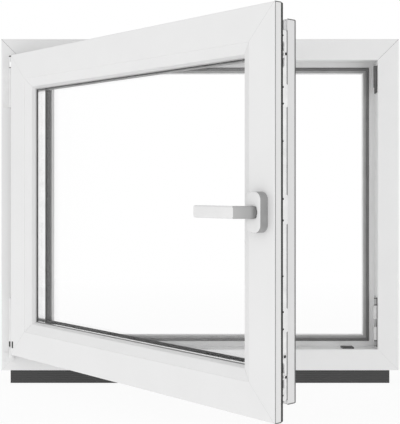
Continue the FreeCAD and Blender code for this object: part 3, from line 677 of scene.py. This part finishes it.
class WINDOW_OT_profiles(bpy.types.Operator):
    """Finish the PVC bars of frame and sash and score their welded corners"""

    bl_idname = "window.profiles"
    bl_label = "PVC profiles"

    def execute(self, context):
        sizes = context.scene.window_sizes
        colours = context.scene.window_colours
        # Extruded window PVC: smooth satin gloss with faint draw lines along each bar, drawn
        # 1.5 mm apart because the real ones, about 0.2 mm, would not show
        bars = {
            "extruded_pvc_upright": ((1, 1, DRAW_STRETCH), 0.0, (
                "frame_left_jamb", "frame_right_jamb", "sash_left_stile", "sash_right_stile",
                "bead_left", "bead_right")),
            "extruded_pvc_level": ((DRAW_STRETCH, 1, 1), 0.0, (
                "frame_top_rail", "frame_bottom_rail")),
            "extruded_pvc_level_sash": ((DRAW_STRETCH, 1, 1), -OPEN_TURN, (
                "sash_top_rail", "sash_bottom_rail", "bead_top", "bead_bottom")),
        }
        for name, (stretch, turn, nodes) in bars.items():
            material = textured(
                name, colours.pvc, colours.pvc_shade,
                colour_size=90, roughness=(0.28, 0.36), bump_size=1.5, bump_depth=0.0015 * MM,
                stretch=stretch, turn=turn, IOR=1.53)
            dress(material, *nodes)
        # Scraped weld: PVC cut back by a blade, rougher and greyer than the extruded face
        scraped = textured(
            "scraped_pvc_weld", colours.seam, linear("#9C9C9C"),
            colour_size=8, roughness=(0.5, 0.7), bump_size=1.0, bump_depth=0.02 * MM)
        # Polished weld: nearly the tone of the bar itself
        polished = textured(
            "polished_pvc_weld", colours.sash_seam, linear("#CACACA"),
            colour_size=8, roughness=(0.4, 0.5), bump_size=1.0, bump_depth=0.01 * MM)
        # Dark grey, matt lines: painted shade in the lip's front groove, in the gap beside the lock's
        # faceplate and along the sash's back edge, and the welds along the sash's corner edges
        seam_and_shade_finish = textured(
            "grey_seams_and_painted_shade", colours.seam_and_shade_grey, linear("#626262"),
            colour_size=20, roughness=(0.5, 0.6), bump_size=1.0, bump_depth=0.01 * MM)
        welds = cord_tree("weld_seam", scraped)
        fine_welds = cord_tree("fine_weld_seam", polished)
        seam_and_shade_cords = cord_tree("seam_and_shade_cord", seam_and_shade_finish)
        for name, end, tree, radius in (
                ("frame_weld_seams", 1, welds, sizes.seam_radius),
                ("frame_foot_seams", -1, fine_welds, sizes.sash_seam_radius)):
            half_height = FRAME_HIGH.z - WINDOW_MIDDLE
            lines = [mitre_lines(FRAME_HIGH.x, half_height, FRAME_LOW.y, section, (end,))
                     for section in FRAME_MITRES]
            corded(name, lines, tree, radius, "frame", IN_PLACE)
        for name, sections, tree, radius in (
                ("sash_weld_seams", SASH_MITRES, fine_welds, sizes.sash_seam_radius),
                ("sash_corner_seams", CORNER_EDGES, seam_and_shade_cords, sizes.corner_seam_radius),
                ("bead_joints", BEAD_MITRES, fine_welds, sizes.bead_joint_radius)):
            lines = [mitre_lines(SASH_HALF_WIDTH, SASH_HALF_HEIGHT, SASH_FRONT, section)
                     for section in sections]
            corded(name, lines, tree, radius, "sash")
        # Painted shade: dark cords in the lip's groove, in the gap beside the faceplate and along the
        # sash's back edge
        lock_x = SASH_HALF_WIDTH - EDGE_STEP
        gap_y = SASH_FRONT + GAP_DEPTH
        gap = [Vector((lock_x, gap_y, corner.z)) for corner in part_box("lock_faceplate")]
        front = [ring_lines(*FRONT_SHADE_LINE), (gap, [(0, 1)])]
        back = [ring_lines(*BACK_SHADE_LINE)]
        corded("sash_front_painted_shade", front, seam_and_shade_cords, sizes.front_shade_line_radius, "sash")
        corded("sash_back_painted_shade", back, seam_and_shade_cords, sizes.back_shade_line_radius, "sash")
        return {"FINISHED"}


class WINDOW_OT_glazing(bpy.types.Operator):
    """Finish the panes, the spacer bar with its drying holes and the sealant beside it"""

    bl_idname = "window.glazing"
    bl_label = "Double glazing"

    def execute(self, context):
        sizes = context.scene.window_sizes
        colours = context.scene.window_colours
        # Coated float glass: clear and flat, mirrors little, with a very faint haze of dust
        glass, tree, shader = new_material(
            "coated_float_glass", Transmission_Weight=1.0, IOR=1.25, Base_Color=(1, 1, 1, 1))
        place = add_node(tree, "ShaderNodeTexCoord")
        haze = add_node(tree, "ShaderNodeTexNoise", {
            "Vector": place.outputs["Object"], "Scale": per_size(120), "Detail": 2.0})
        film = add_node(tree, "ShaderNodeMapRange", {
            "Value": haze.outputs["Fac"], "To Min": 0.0, "To Max": 0.008})
        tree.links.new(film.outputs["Result"], shader.inputs["Roughness"])
        dress(glass, "inner_pane", "outer_pane")
        # Bright rolled aluminium: nearly a mirror, blurred a little by the rolls
        rolled = textured(
            "bright_rolled_aluminium", colours.spacer, linear("#F2F2F2"),
            colour_size=20, roughness=(0.1, 0.18), bump_size=1.2, bump_depth=0.0005 * MM,
            Metallic=1.0)
        dress(rolled, "spacer_bar")
        # Butyl: dark grey, soft and matt
        butyl = textured(
            "butyl_sealant", colours.butyl, linear("#444444"),
            colour_size=15, roughness=(0.6, 0.8), bump_size=2.0, bump_depth=0.05 * MM)
        # Drying holes: discs of painted shade, greyer than the bar where they open into its chamber
        hole_shade_finish = textured(
            "spacer_hole_shade", colours.spacer_hole_shade, linear("#7A7A7A"),
            colour_size=2, roughness=(0.7, 0.9), bump_size=1.0, bump_depth=0.01 * MM)
        loops = [ring_lines(*place) for place in BUTYL_LINES]
        corded("butyl_seal", loops, cord_tree("butyl_line", butyl), sizes.butyl_radius,
               "sash")
        points, edges = ring_lines(*HOLE_LINE)
        opened = [OPENING @ point for point in points]
        turned = [OPENING.to_3x3() @ facing for facing in ring_facings()]
        grown("spacer_holes", opened, edges, turned, hole_row_tree("drying_holes", hole_shade_finish),
              {"Radius": sizes.hole_radius, "Pitch": sizes.hole_pitch}, "sash")
        return {"FINISHED"}


class WINDOW_OT_seals(bpy.types.Operator):
    """Finish the rubber seals and the caps of the drains"""

    bl_idname = "window.seals"
    bl_label = "Seals and drain caps"

    def execute(self, context):
        sizes = context.scene.window_sizes
        colours = context.scene.window_colours
        # Extruded EPDM: dark and matt, greyed by dust
        rubber = textured(
            "extruded_epdm_rubber", colours.gasket, linear("#202020"),
            colour_size=25, roughness=(0.5, 0.65), bump_size=1.5, bump_depth=0.02 * MM)
        dress(rubber, "sash_gasket")
        # Glazing rubber: dark and matt, with painted light that makes its shaded top run along the
        # sash's head pale
        outer = self.rubber_with_painted_light("epdm_rubber_with_painted_light", colours.gasket, colours.painted_head_light)
        dress(outer, "outer_glazing_gasket")
        # Grey bead rubber: welded on with the bead, paler than the dark seals
        bead = self.rubber_with_painted_light("grey_bead_rubber", colours.inner_gasket, colours.painted_head_light)
        dress(bead, "inner_glazing_gasket")
        # Worn rubber: the gasket's thin ribbed tail, paler than its body
        worn = self.rubber_with_painted_light("worn_epdm_rubber", colours.gasket_tail, colours.painted_head_light)
        for name, places, sides, finish, radius in (
                ("outer_gasket_tail", TAIL_RIBS, RING_SIDES, worn, sizes.gasket_rib_radius),
                ("inner_gasket_lip", (BEAD_LIP,), RING_SIDES, bead, sizes.bead_lip_radius),
                ("lip_gasket_ribs", LIP_RIBS, LIP_SIDES, rubber, sizes.lip_rib_radius)):
            rings = [ring_lines(*place) for place in places]
            lines = [(points[:2 * sides], edges[:sides]) for points, edges in rings]
            corded(name, lines, cord_tree(name, finish), radius, "sash")
        # Grey rubber lip: softer and paler than the sash's seals
        lip = textured(
            "grey_rubber_lip", colours.frame_gasket, linear("#686868"),
            colour_size=25, roughness=(0.5, 0.65), bump_size=1.5, bump_depth=0.02 * MM)
        dress(lip, "frame_gasket")
        # Grey thermoplastic rubber, welded on with the frame profile
        grey = textured(
            "grey_thermoplastic_rubber", colours.strip, linear("#A0A0A0"),
            colour_size=25, roughness=(0.5, 0.65), bump_size=1.5, bump_depth=0.02 * MM)
        dress(grey, "flange_strip")
        # Moulded caps: white, slightly textured by the mould
        cap = textured(
            "moulded_white_plastic", colours.pvc, colours.pvc_shade,
            colour_size=20, roughness=(0.35, 0.45), bump_size=0.8, bump_depth=0.02 * MM,
            IOR=1.5)
        dress(cap, "drain_caps")
        return {"FINISHED"}

    @staticmethod
    def rubber_with_painted_light(name, colour, painted_head_light):
        """Matt rubber of one colour, with painted light that makes it pale along the sash's head."""
        rubber, tree, shader = new_material(name)
        place = add_node(tree, "ShaderNodeTexCoord")
        height = add_node(tree, "ShaderNodeSeparateXYZ", {"Vector": place.outputs["Object"]})
        cloud = add_node(tree, "ShaderNodeTexNoise", {
            "Vector": place.outputs["Object"], "Scale": per_size(25), "Detail": 3.0})
        # Painted light: above this height the rubber turns pale
        head = WINDOW_MIDDLE + SASH_HALF_HEIGHT - PAINTED_LIGHT_DROP
        under_head = add_node(tree, "ShaderNodeMapRange", {
            "Value": height.outputs["Z"], "From Min": head - PAINTED_LIGHT_FADE, "From Max": head})
        painted_ramp = add_node(tree, "ShaderNodeValToRGB", {"Fac": under_head.outputs["Result"]})
        painted_ramp.color_ramp.elements[0].color = (*colour, 1)
        painted_ramp.color_ramp.elements[1].color = (*painted_head_light, 1)
        matt = add_node(tree, "ShaderNodeMapRange", {
            "Value": cloud.outputs["Fac"], "To Min": 0.5, "To Max": 0.65})
        relief = add_node(tree, "ShaderNodeBump", {
            "Height": cloud.outputs["Fac"], "Strength": 1.0, "Distance": 0.02 * MM})
        tree.links.new(painted_ramp.outputs["Color"], shader.inputs["Base Color"])
        tree.links.new(matt.outputs["Result"], shader.inputs["Roughness"])
        tree.links.new(relief.outputs["Normal"], shader.inputs["Normal"])
        return rubber


class WINDOW_OT_hardware(bpy.types.Operator):
    """Finish the lock edge, strikers, stay and hinges and drive in their screws"""

    bl_idname = "window.hardware"
    bl_label = "Lock and hinges"

    def execute(self, context):
        sizes = context.scene.window_sizes
        colours = context.scene.window_colours
        # Zinc plated steel: bright, rolled, with the faint bloom of passivation
        plated = textured(
            "zinc_plated_steel", colours.steel, linear("#E6E6E6"),
            colour_size=18, roughness=(0.26, 0.4), bump_size=1.5, bump_depth=0.01 * MM,
            Metallic=1.0)
        dress(plated, "lock_faceplate", "stay_guide", "stay_arm", "drive_rod", "locking_cams")
        # Pressed zinc: duller and greyer than the plated steel
        pressed = textured(
            "pressed_zinc", colours.striker, linear("#BCBCBC"),
            colour_size=12, roughness=(0.45, 0.55), bump_size=1.0, bump_depth=0.02 * MM,
            Metallic=0.5)
        dress(pressed, "lower_striker")
        # Dark cast zinc: grainy and matt
        dull = textured(
            "dark_cast_zinc", colours.zinc, linear("#565656"),
            colour_size=12, roughness=(0.45, 0.6), bump_size=0.8, bump_depth=0.04 * MM,
            Metallic=0.6)
        dress(dull, "upper_striker")
        # Glass filled nylon: dark and matt
        nylon = textured(
            "moulded_dark_nylon", colours.nylon, linear("#363636"),
            colour_size=10, roughness=(0.5, 0.65), bump_size=0.8, bump_depth=0.03 * MM)
        # Nylon rubbed by the sash that rides up on it: greyer than the rest
        rubbed = textured(
            "rubbed_grey_nylon", colours.rubbed_nylon, linear("#464646"),
            colour_size=10, roughness=(0.5, 0.6), bump_size=0.8, bump_depth=0.02 * MM)
        dress(rubbed, "run_up_block")
        self.striker_seams_and_shade_line(nylon, sizes.striker_seam_radius)
        # White powder coat over steel: fine orange peel
        coated = textured(
            "white_coated_hinge", colours.coating, linear("#E2E2E2"),
            colour_size=25, roughness=(0.34, 0.44), bump_size=0.9, bump_depth=0.02 * MM,
            IOR=1.5)
        dress(coated, "corner_bearing", "stay_bearing", "corner_knuckle", "corner_band")
        # Screw socket: a flat disc of painted shade, dark as a deep and narrow socket is
        socket_shade = textured(
            "screw_socket_shade", colours.socket_shade, linear("#303030"),
            colour_size=2, roughness=(0.6, 0.8), bump_size=0.8, bump_depth=0.01 * MM,
            Metallic=0.5)
        screws = fastener_tree("socket_screw", plated, socket_shade)
        self.lock_cases(plated)
        self.hinge_bushes(nylon)
        self.hinge_notch(nylon)
        small = {"Radius": sizes.screw_radius, "Rise": sizes.screw_rise, "Socket": SCREW_SOCKET}
        edge_x = SASH_HALF_WIDTH - EDGE_STEP
        edge_y = SASH_FRONT + EDGE_MIDDLE
        right = Vector((1, 0, 0))
        up = Vector((0, 0, 1))
        on_edge = [(Vector((edge_x, edge_y, z * MM)), right) for z in EDGE_SCREWS]
        on_case = [(Vector((edge_x + CASE_RISE, edge_y, z * MM)), right) for z in CASE_SCREWS]
        guide_top = WINDOW_MIDDLE + SASH_HALF_HEIGHT - EDGE_STEP
        on_guide = [(Vector((HINGE.x + x * MM, edge_y, guide_top)), up) for x in GUIDE_SCREWS]
        self.fasten("lock_edge_screws", on_edge + on_case + on_guide, screws, small, "sash")
        on_stud = [(Vector((edge_x, edge_y + STUD_STEP, STUD_LEVEL)), right)]
        self.fasten("guide_stud", on_stud, screws, STUD_HEAD, "sash")
        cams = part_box("locking_cams")
        flange = {"Radius": sizes.cam_flange_radius, "Rise": FLANGE_RISE, "Socket": FLANGE_SOCKET}
        tip = {"Radius": TIP_RADIUS, "Rise": TIP_RISE, "Socket": sizes.cam_socket_radius}
        cam_levels = (cams[0].z + CAM_REACH, cams[1].z - CAM_REACH)
        feet = [(Vector((edge_x + FLANGE_LIFT, edge_y, z)), right) for z in cam_levels]
        tips = [(Vector((edge_x + TIP_LIFT, edge_y, z)), right) for z in cam_levels]
        self.fasten("cam_flanges", feet, screws, flange, "lock_rod")
        self.fasten("cam_sockets", tips, screws, tip, "lock_rod")
        return {"FINISHED"}

    @staticmethod
    def fasten(name, places, tree, sizes, body):
        """Fasteners at places on the closed sash, each with the way it faces."""
        points = [OPENING @ place for place, facing in places]
        facings = [OPENING.to_3x3() @ facing for place, facing in places]
        grown(name, points, [], facings, tree, sizes, body)

    @staticmethod
    def striker_seams_and_shade_line(material, radius):
        """Dark seams across the lower striker's front, and a dark line of painted shade down its edge
        where a shadow gap falls.
        """
        low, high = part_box("lower_striker")
        edge_x = high.x - STRIKER_RIGHT
        edge_y = low.y + STRIKER_BACK
        seams = [([Vector((edge_x, edge_y, low.z)), Vector((edge_x, edge_y, high.z))], [(0, 1)])]
        for rise in STRIKER_SEAMS:
            level = low.z + rise * MM
            ends = [Vector((x, low.y, level)) for x in (low.x + STRIKER_LEFT, edge_x)]
            seams.append((ends, [(0, 1)]))
        corded("striker_seams_and_shade_line", seams, cord_tree("striker_seam", material), radius,
               "frame", IN_PLACE)

    @staticmethod
    def hinge_bushes(material):
        """Dark bushes that show in the barrels of both hinges."""
        for name, body, spans in (
                ("bearing_bush", "frame", BEARING_BUSH), ("corner_bush", "sash", CORNER_BUSH)):
            mould = bmesh.new()
            for low, high, first, last in spans:
                turns = [math.radians(first + (last - first) * step / BUSH_STEPS)
                         for step in range(BUSH_STEPS + 1)]
                round_pin = [Vector((math.sin(turn), -math.cos(turn))) for turn in turns]
                outside = [way * BUSH_OUTSIDE for way in round_pin]
                inside = [way * BUSH_INSIDE for way in reversed(round_pin)]
                slab(mould, outside + inside, low * MM, high * MM,
                     lambda point, level: Vector((HINGE.x + point.x, HINGE.y + point.y, level)),
                     BUSH_EDGE)
            cast(name, mould, [material], body, place=IN_PLACE)

    @staticmethod
    def hinge_notch(material):
        """Dark plug in the sash's front beside the lower hinge, over its adjusting screw."""
        mould = bmesh.new()
        near, far, low, high = (place * MM for place in NOTCH_PLAN)
        left = -SASH_HALF_WIDTH
        outline = rounded_outline([
            (left + near, low, NOTCH_ROUND), (left + far, low, NOTCH_ROUND),
            (left + far, high, NOTCH_ROUND), (left + near, high, NOTCH_ROUND)])
        slab(mould, outline, -NOTCH_SINK, NOTCH_RISE,
             lambda point, level: Vector((point.x, SASH_FRONT - level, point.y)), NOTCH_EDGE, False)
        cast("hinge_notch", mould, [material], "sash")

    @staticmethod
    def lock_cases(material):
        """Three wider cover plates on the lock edge, where its gear cases sit."""
        mould = bmesh.new()
        edge_x = SASH_HALF_WIDTH - EDGE_STEP
        near, far = CASE_SIDES
        for low, high in CASE_SPANS:
            outline = rounded_outline([
                (deep * MM, level * MM, CASE_ROUND)
                for deep, level in ((near, low), (far, low), (far, high), (near, high))])
            slab(mould, outline, -CASE_SINK, CASE_RISE,
                 lambda point, level: Vector((edge_x + level, SASH_FRONT + point.x, point.y)),
                 CASE_EDGE)
        cast("lock_case_covers", mould, [material], "sash")


class WINDOW_OT_handle(bpy.types.Operator):
    """Finish the lever and its rosette"""

    bl_idname = "window.handle"
    bl_label = "Handle"

    def execute(self, context):
        colours = context.scene.window_colours
        # White powder coat over cast aluminium: satin with a fine orange peel
        satin = textured(
            "white_powder_coat", colours.coating, linear("#E5E5E5"),
            colour_size=30, roughness=(0.3, 0.4), bump_size=0.9, bump_depth=0.006 * MM,
            IOR=1.5)
        # Grey satin coat on the rosette's rim, which is greyer than its white front
        grey = textured(
            "grey_satin_coat", colours.rim, linear("#969696"),
            colour_size=15, roughness=(0.35, 0.45), bump_size=0.9, bump_depth=0.006 * MM,
            IOR=1.5)
        dress(satin, "handle_lever", "handle_rosette")
        self.lever(satin, self.neck_coat_and_shade(colours))
        self.rosette(satin, grey)
        return {"FINISHED"}

    @staticmethod
    def neck_coat_and_shade(colours):
        """Grey satin coat with painted shade that deepens towards the rosette."""
        coat, tree, shader = new_material("grey_coat_with_painted_shade", IOR=1.5)
        place = add_node(tree, "ShaderNodeTexCoord")
        out_way = OPENING.to_3x3() @ Vector((0, -1, 0))
        foot = (OPENING @ HANDLE).dot(out_way) + ROSETTE_RISE
        away = add_node(tree, "ShaderNodeVectorMath", {
            0: place.outputs["Object"], 1: out_way}, operation="DOT_PRODUCT")
        reach = add_node(tree, "ShaderNodeMapRange", {
            "Value": away.outputs["Value"], "From Min": foot, "From Max": foot + NECK_SHADE_LENGTH})
        cloud = add_node(tree, "ShaderNodeTexNoise", {
            "Vector": place.outputs["Object"], "Scale": per_size(15), "Detail": 2.0})
        # Painted shade: darkest next to the rosette, fading to the neck's grey coat along the lever
        painted_ramp = add_node(tree, "ShaderNodeValToRGB", {"Fac": reach.outputs["Result"]})
        painted_ramp.color_ramp.elements[0].color = (*colours.neck_shade_at_rosette, 1)
        painted_ramp.color_ramp.elements[1].color = (*colours.neck, 1)
        middle = painted_ramp.color_ramp.elements.new(NECK_SHADE_MIDDLE)
        middle.color = (*colours.neck_shade_at_bend, 1)
        sheen = add_node(tree, "ShaderNodeMapRange", {
            "Value": cloud.outputs["Fac"], "To Min": 0.32, "To Max": 0.42})
        tree.links.new(painted_ramp.outputs["Color"], shader.inputs["Base Color"])
        tree.links.new(sheen.outputs["Result"], shader.inputs["Roughness"])
        return coat

    @staticmethod
    def lever(satin, grey):
        """The cranked lever with soft edges, its neck grey, in place of the plain one."""
        mould = bmesh.new()
        outline = rounded_outline([(a * MM, b * MM, r * MM) for a, b, r in LEVER_PLAN])
        half = LEVER_HEIGHT / 2
        slab(mould, outline, -half, half,
             lambda point, level: HANDLE + Vector((point.x, -point.y, level)), LEVER_EDGE)
        turns = [2 * math.pi * step / COLLAR_SIDES for step in range(COLLAR_SIDES)]
        ring = [Vector((math.cos(turn), math.sin(turn))) * COLLAR_RADIUS for turn in turns]
        slab(mould, ring, ROSETTE_RISE, ROSETTE_RISE + COLLAR_RISE,
             lambda point, level: HANDLE + Vector((point.x, -level, point.y)), COLLAR_EDGE, False)
        outer = Vector(LEVER_PLAN[1][:2]) * MM
        inner = Vector(LEVER_PLAN[4][:2]) * MM
        across = (outer - inner).orthogonal()

        def on_neck(face):
            centre = face.calc_center_median() - HANDLE
            return (Vector((centre.x, -centre.y)) - inner).dot(across) * NECK_SIDE > 0

        lever = cast("cast_lever", mould, [satin, grey], "handle", on_neck)
        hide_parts("handle_lever")

    @staticmethod
    def rosette(satin, grey):
        """The rosette with a soft front edge and a grey rim, in place of the plain one."""
        mould = bmesh.new()
        half_width, half_height, corner = (size * MM for size in ROSETTE_PLAN)
        outline = rounded_outline([
            (side * half_width, end * half_height, corner)
            for side, end in ((-1, -1), (1, -1), (1, 1), (-1, 1))], ROSETTE_STEPS)
        slab(mould, outline, 0, ROSETTE_RISE,
             lambda point, level: HANDLE + Vector((point.x, -level, point.y)), ROSETTE_EDGE, False)
        rosette = cast("cast_rosette", mould, [satin, grey], "sash",
                       lambda face: face.normal.y > -RIM_LIMIT)
        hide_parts("handle_rosette")


class WINDOW_OT_sill(bpy.types.Operator):
    """Finish the sill profile"""

    bl_idname = "window.sill"
    bl_label = "Sill profile"

    def execute(self, context):
        colours = context.scene.window_colours
        # Recycled PVC: dark grey and matt, with fine ribs along its length and painted shade between
        # them
        regrind, tree, shader = new_material("ribbed_grey_pvc", IOR=1.53)
        place = add_node(tree, "ShaderNodeTexCoord")
        cloud = add_node(tree, "ShaderNodeTexNoise", {
            "Vector": place.outputs["Object"], "Scale": per_size(30), "Detail": 3.0})
        ribs = add_node(tree, "ShaderNodeTexWave", {
            "Vector": place.outputs["Object"],
            "Scale": WAVE_TURN / context.scene.window_sizes.rib_pitch}, bands_direction="Z")
        tone = add_node(tree, "ShaderNodeValToRGB", {"Fac": ribs.outputs["Fac"]})
        tone.color_ramp.elements[0].color = (*colours.sill_rib_shade, 1)
        tone.color_ramp.elements[1].color = (*colours.sill, 1)
        matt = add_node(tree, "ShaderNodeMapRange", {
            "Value": cloud.outputs["Fac"], "To Min": 0.45, "To Max": 0.6})
        relief = add_node(tree, "ShaderNodeBump", {
            "Height": ribs.outputs["Fac"], "Strength": 1.0, "Distance": 0.3 * MM})
        tree.links.new(tone.outputs["Color"], shader.inputs["Base Color"])
        tree.links.new(matt.outputs["Result"], shader.inputs["Roughness"])
        tree.links.new(relief.outputs["Normal"], shader.inputs["Normal"])
        dress(regrind, "sill_profile")
        return {"FINISHED"}


class WINDOW_OT_stage(bpy.types.Operator):
    """Set up the pale floor, the soft studio light and the photograph's camera"""

    bl_idname = "window.stage"
    bl_label = "Stage"

    def execute(self, context):
        scene = context.scene
        scene.view_settings.view_transform = "Standard"
        self.floor(scene)
        self.world(scene)
        for name, place, aim, size, power in LIGHTS:
            lamp = bpy.data.lights.new(name, "AREA")
            lamp.size = size
            lamp.energy = power
            light = bpy.data.objects.new(name, lamp)
            light.location = place
            aimed = Vector(aim) - Vector(place)
            light.rotation_euler = aimed.to_track_quat("-Z", "Y").to_euler()
            scene.collection.objects.link(light)
        eye = bpy.data.cameras.new("photo_camera")
        eye.lens = CAMERA_LENS
        eye.shift_y = CAMERA_SHIFT
        camera = bpy.data.objects.new("photo_camera", eye)
        camera.location = CAMERA_PLACE
        camera.rotation_euler = (math.pi / 2, 0, 0)
        scene.collection.objects.link(camera)
        scene.camera = camera
        return {"FINISHED"}

    @staticmethod
    def seen_directly(tree):
        """Socket that is 1 for the rays that see the background: camera and transmission."""
        path = add_node(tree, "ShaderNodeLightPath")
        seen = add_node(tree, "ShaderNodeMath", {
            0: path.outputs["Is Camera Ray"], 1: path.outputs["Is Transmission Ray"]},
            operation="MAXIMUM")
        return seen.outputs["Value"]

    def floor(self, scene):
        """Pale floor that looks white and keeps a faint shadow of the window."""
        half = FLOOR_HALF
        mesh = bpy.data.meshes.new("floor")
        mesh.from_pydata(
            [(-half, -half, 0), (half, -half, 0), (half, half, 0), (-half, half, 0)],
            [], [(0, 1, 2, 3)])
        floor = bpy.data.objects.new("floor", mesh)
        scene.collection.objects.link(floor)
        # Matt studio paper: soft shadow near the window, pure white further away
        material = bpy.data.materials.new("studio_paper")
        material.use_nodes = True
        tree = material.node_tree
        tree.nodes.remove(tree.nodes["Principled BSDF"])
        glow = add_node(tree, "ShaderNodeEmission", {"Color": (1, 1, 1, 1), "Strength": 1.0})
        paper = add_node(tree, "ShaderNodeBsdfDiffuse", {"Color": (0.9, 0.9, 0.9, 1)})
        place = add_node(tree, "ShaderNodeTexCoord")
        away = add_node(tree, "ShaderNodeVectorMath", {
            0: place.outputs["Object"]}, operation="LENGTH")
        glare = add_node(tree, "ShaderNodeMapRange", {
            "Value": away.outputs["Value"], "From Min": SHADOW_NEAR, "From Max": SHADOW_FAR,
            "To Min": 0.93, "To Max": 1.0})
        share = add_node(tree, "ShaderNodeMapRange", {
            "Value": self.seen_directly(tree), "To Min": 0.9, "To Max": glare.outputs["Result"]})
        mixed = add_node(tree, "ShaderNodeMixShader", {
            0: share.outputs["Result"], 1: paper.outputs["BSDF"], 2: glow.outputs["Emission"]})
        tree.links.new(mixed.outputs["Shader"], tree.nodes["Material Output"].inputs["Surface"])
        mesh.materials.append(material)

    def world(self, scene):
        """White surroundings to the eye, brighter from the front left, dark behind in reflections."""
        world = bpy.data.worlds.new("studio")
        world.use_nodes = True
        tree = world.node_tree
        way = add_node(tree, "ShaderNodeTexCoord")
        path = add_node(tree, "ShaderNodeLightPath")
        toward = add_node(tree, "ShaderNodeVectorMath", {
            0: way.outputs["Generated"], 1: BRIGHT_WAY}, operation="DOT_PRODUCT")
        soft = add_node(tree, "ShaderNodeMapRange", {
            "Value": toward.outputs["Value"], "From Min": -1.0, "From Max": 1.0,
            "To Min": 0.4, "To Max": 1.0})
        front = add_node(tree, "ShaderNodeSeparateXYZ", {"Vector": way.outputs["Generated"]})
        mirrored = add_node(tree, "ShaderNodeMapRange", {
            "Value": front.outputs["Y"], "From Min": 0.95, "From Max": 0.2,
            "To Min": 0.05, "To Max": 1.0})
        unseen = add_node(tree, "ShaderNodeMapRange", {
            "Value": path.outputs["Is Glossy Ray"], "To Min": soft.outputs["Result"],
            "To Max": mirrored.outputs["Result"]})
        strength = add_node(tree, "ShaderNodeMapRange", {
            "Value": self.seen_directly(tree), "To Min": unseen.outputs["Result"], "To Max": 1.0})
        background = tree.nodes["Background"]
        background.inputs["Color"].default_value = (1, 1, 1, 1)
        tree.links.new(strength.outputs["Result"], background.inputs["Strength"])
        scene.world = world


class WINDOW_PT_dressing(bpy.types.Panel):
    """Lists the window's pieces, sizes and colours"""

    bl_idname = "WINDOW_PT_dressing"
    bl_label = "Tilt and turn window"
    bl_space_type = "VIEW_3D"
    bl_region_type = "UI"
    bl_category = "Window"

    def draw(self, context):
        layout = self.layout
        for operator in OPERATORS:
            layout.operator(operator.bl_idname)
        for group in (context.scene.window_sizes, context.scene.window_colours):
            for name in group.bl_rna.properties.keys():
                if name not in ("rna_type", "name"):
                    layout.prop(group, name)


OPERATORS = (
    WINDOW_OT_profiles, WINDOW_OT_glazing, WINDOW_OT_seals, WINDOW_OT_hardware,
    WINDOW_OT_handle, WINDOW_OT_sill, WINDOW_OT_stage,
)
CLASSES = (WindowSizes, WindowColours, *OPERATORS, WINDOW_PT_dressing)


def register():
    for cls in CLASSES:
        bpy.utils.register_class(cls)
    bpy.types.Scene.window_sizes = PointerProperty(type=WindowSizes)
    bpy.types.Scene.window_colours = PointerProperty(type=WindowColours)


def unregister():
    del bpy.types.Scene.window_colours
    del bpy.types.Scene.window_sizes
    for cls in reversed(CLASSES):
        bpy.utils.unregister_class(cls)


def main():
    register()
    bpy.ops.window.profiles()
    bpy.ops.window.glazing()
    bpy.ops.window.seals()
    bpy.ops.window.hardware()
    bpy.ops.window.handle()
    bpy.ops.window.sill()
    bpy.ops.window.stage()


if __name__ == "__main__":
    main()
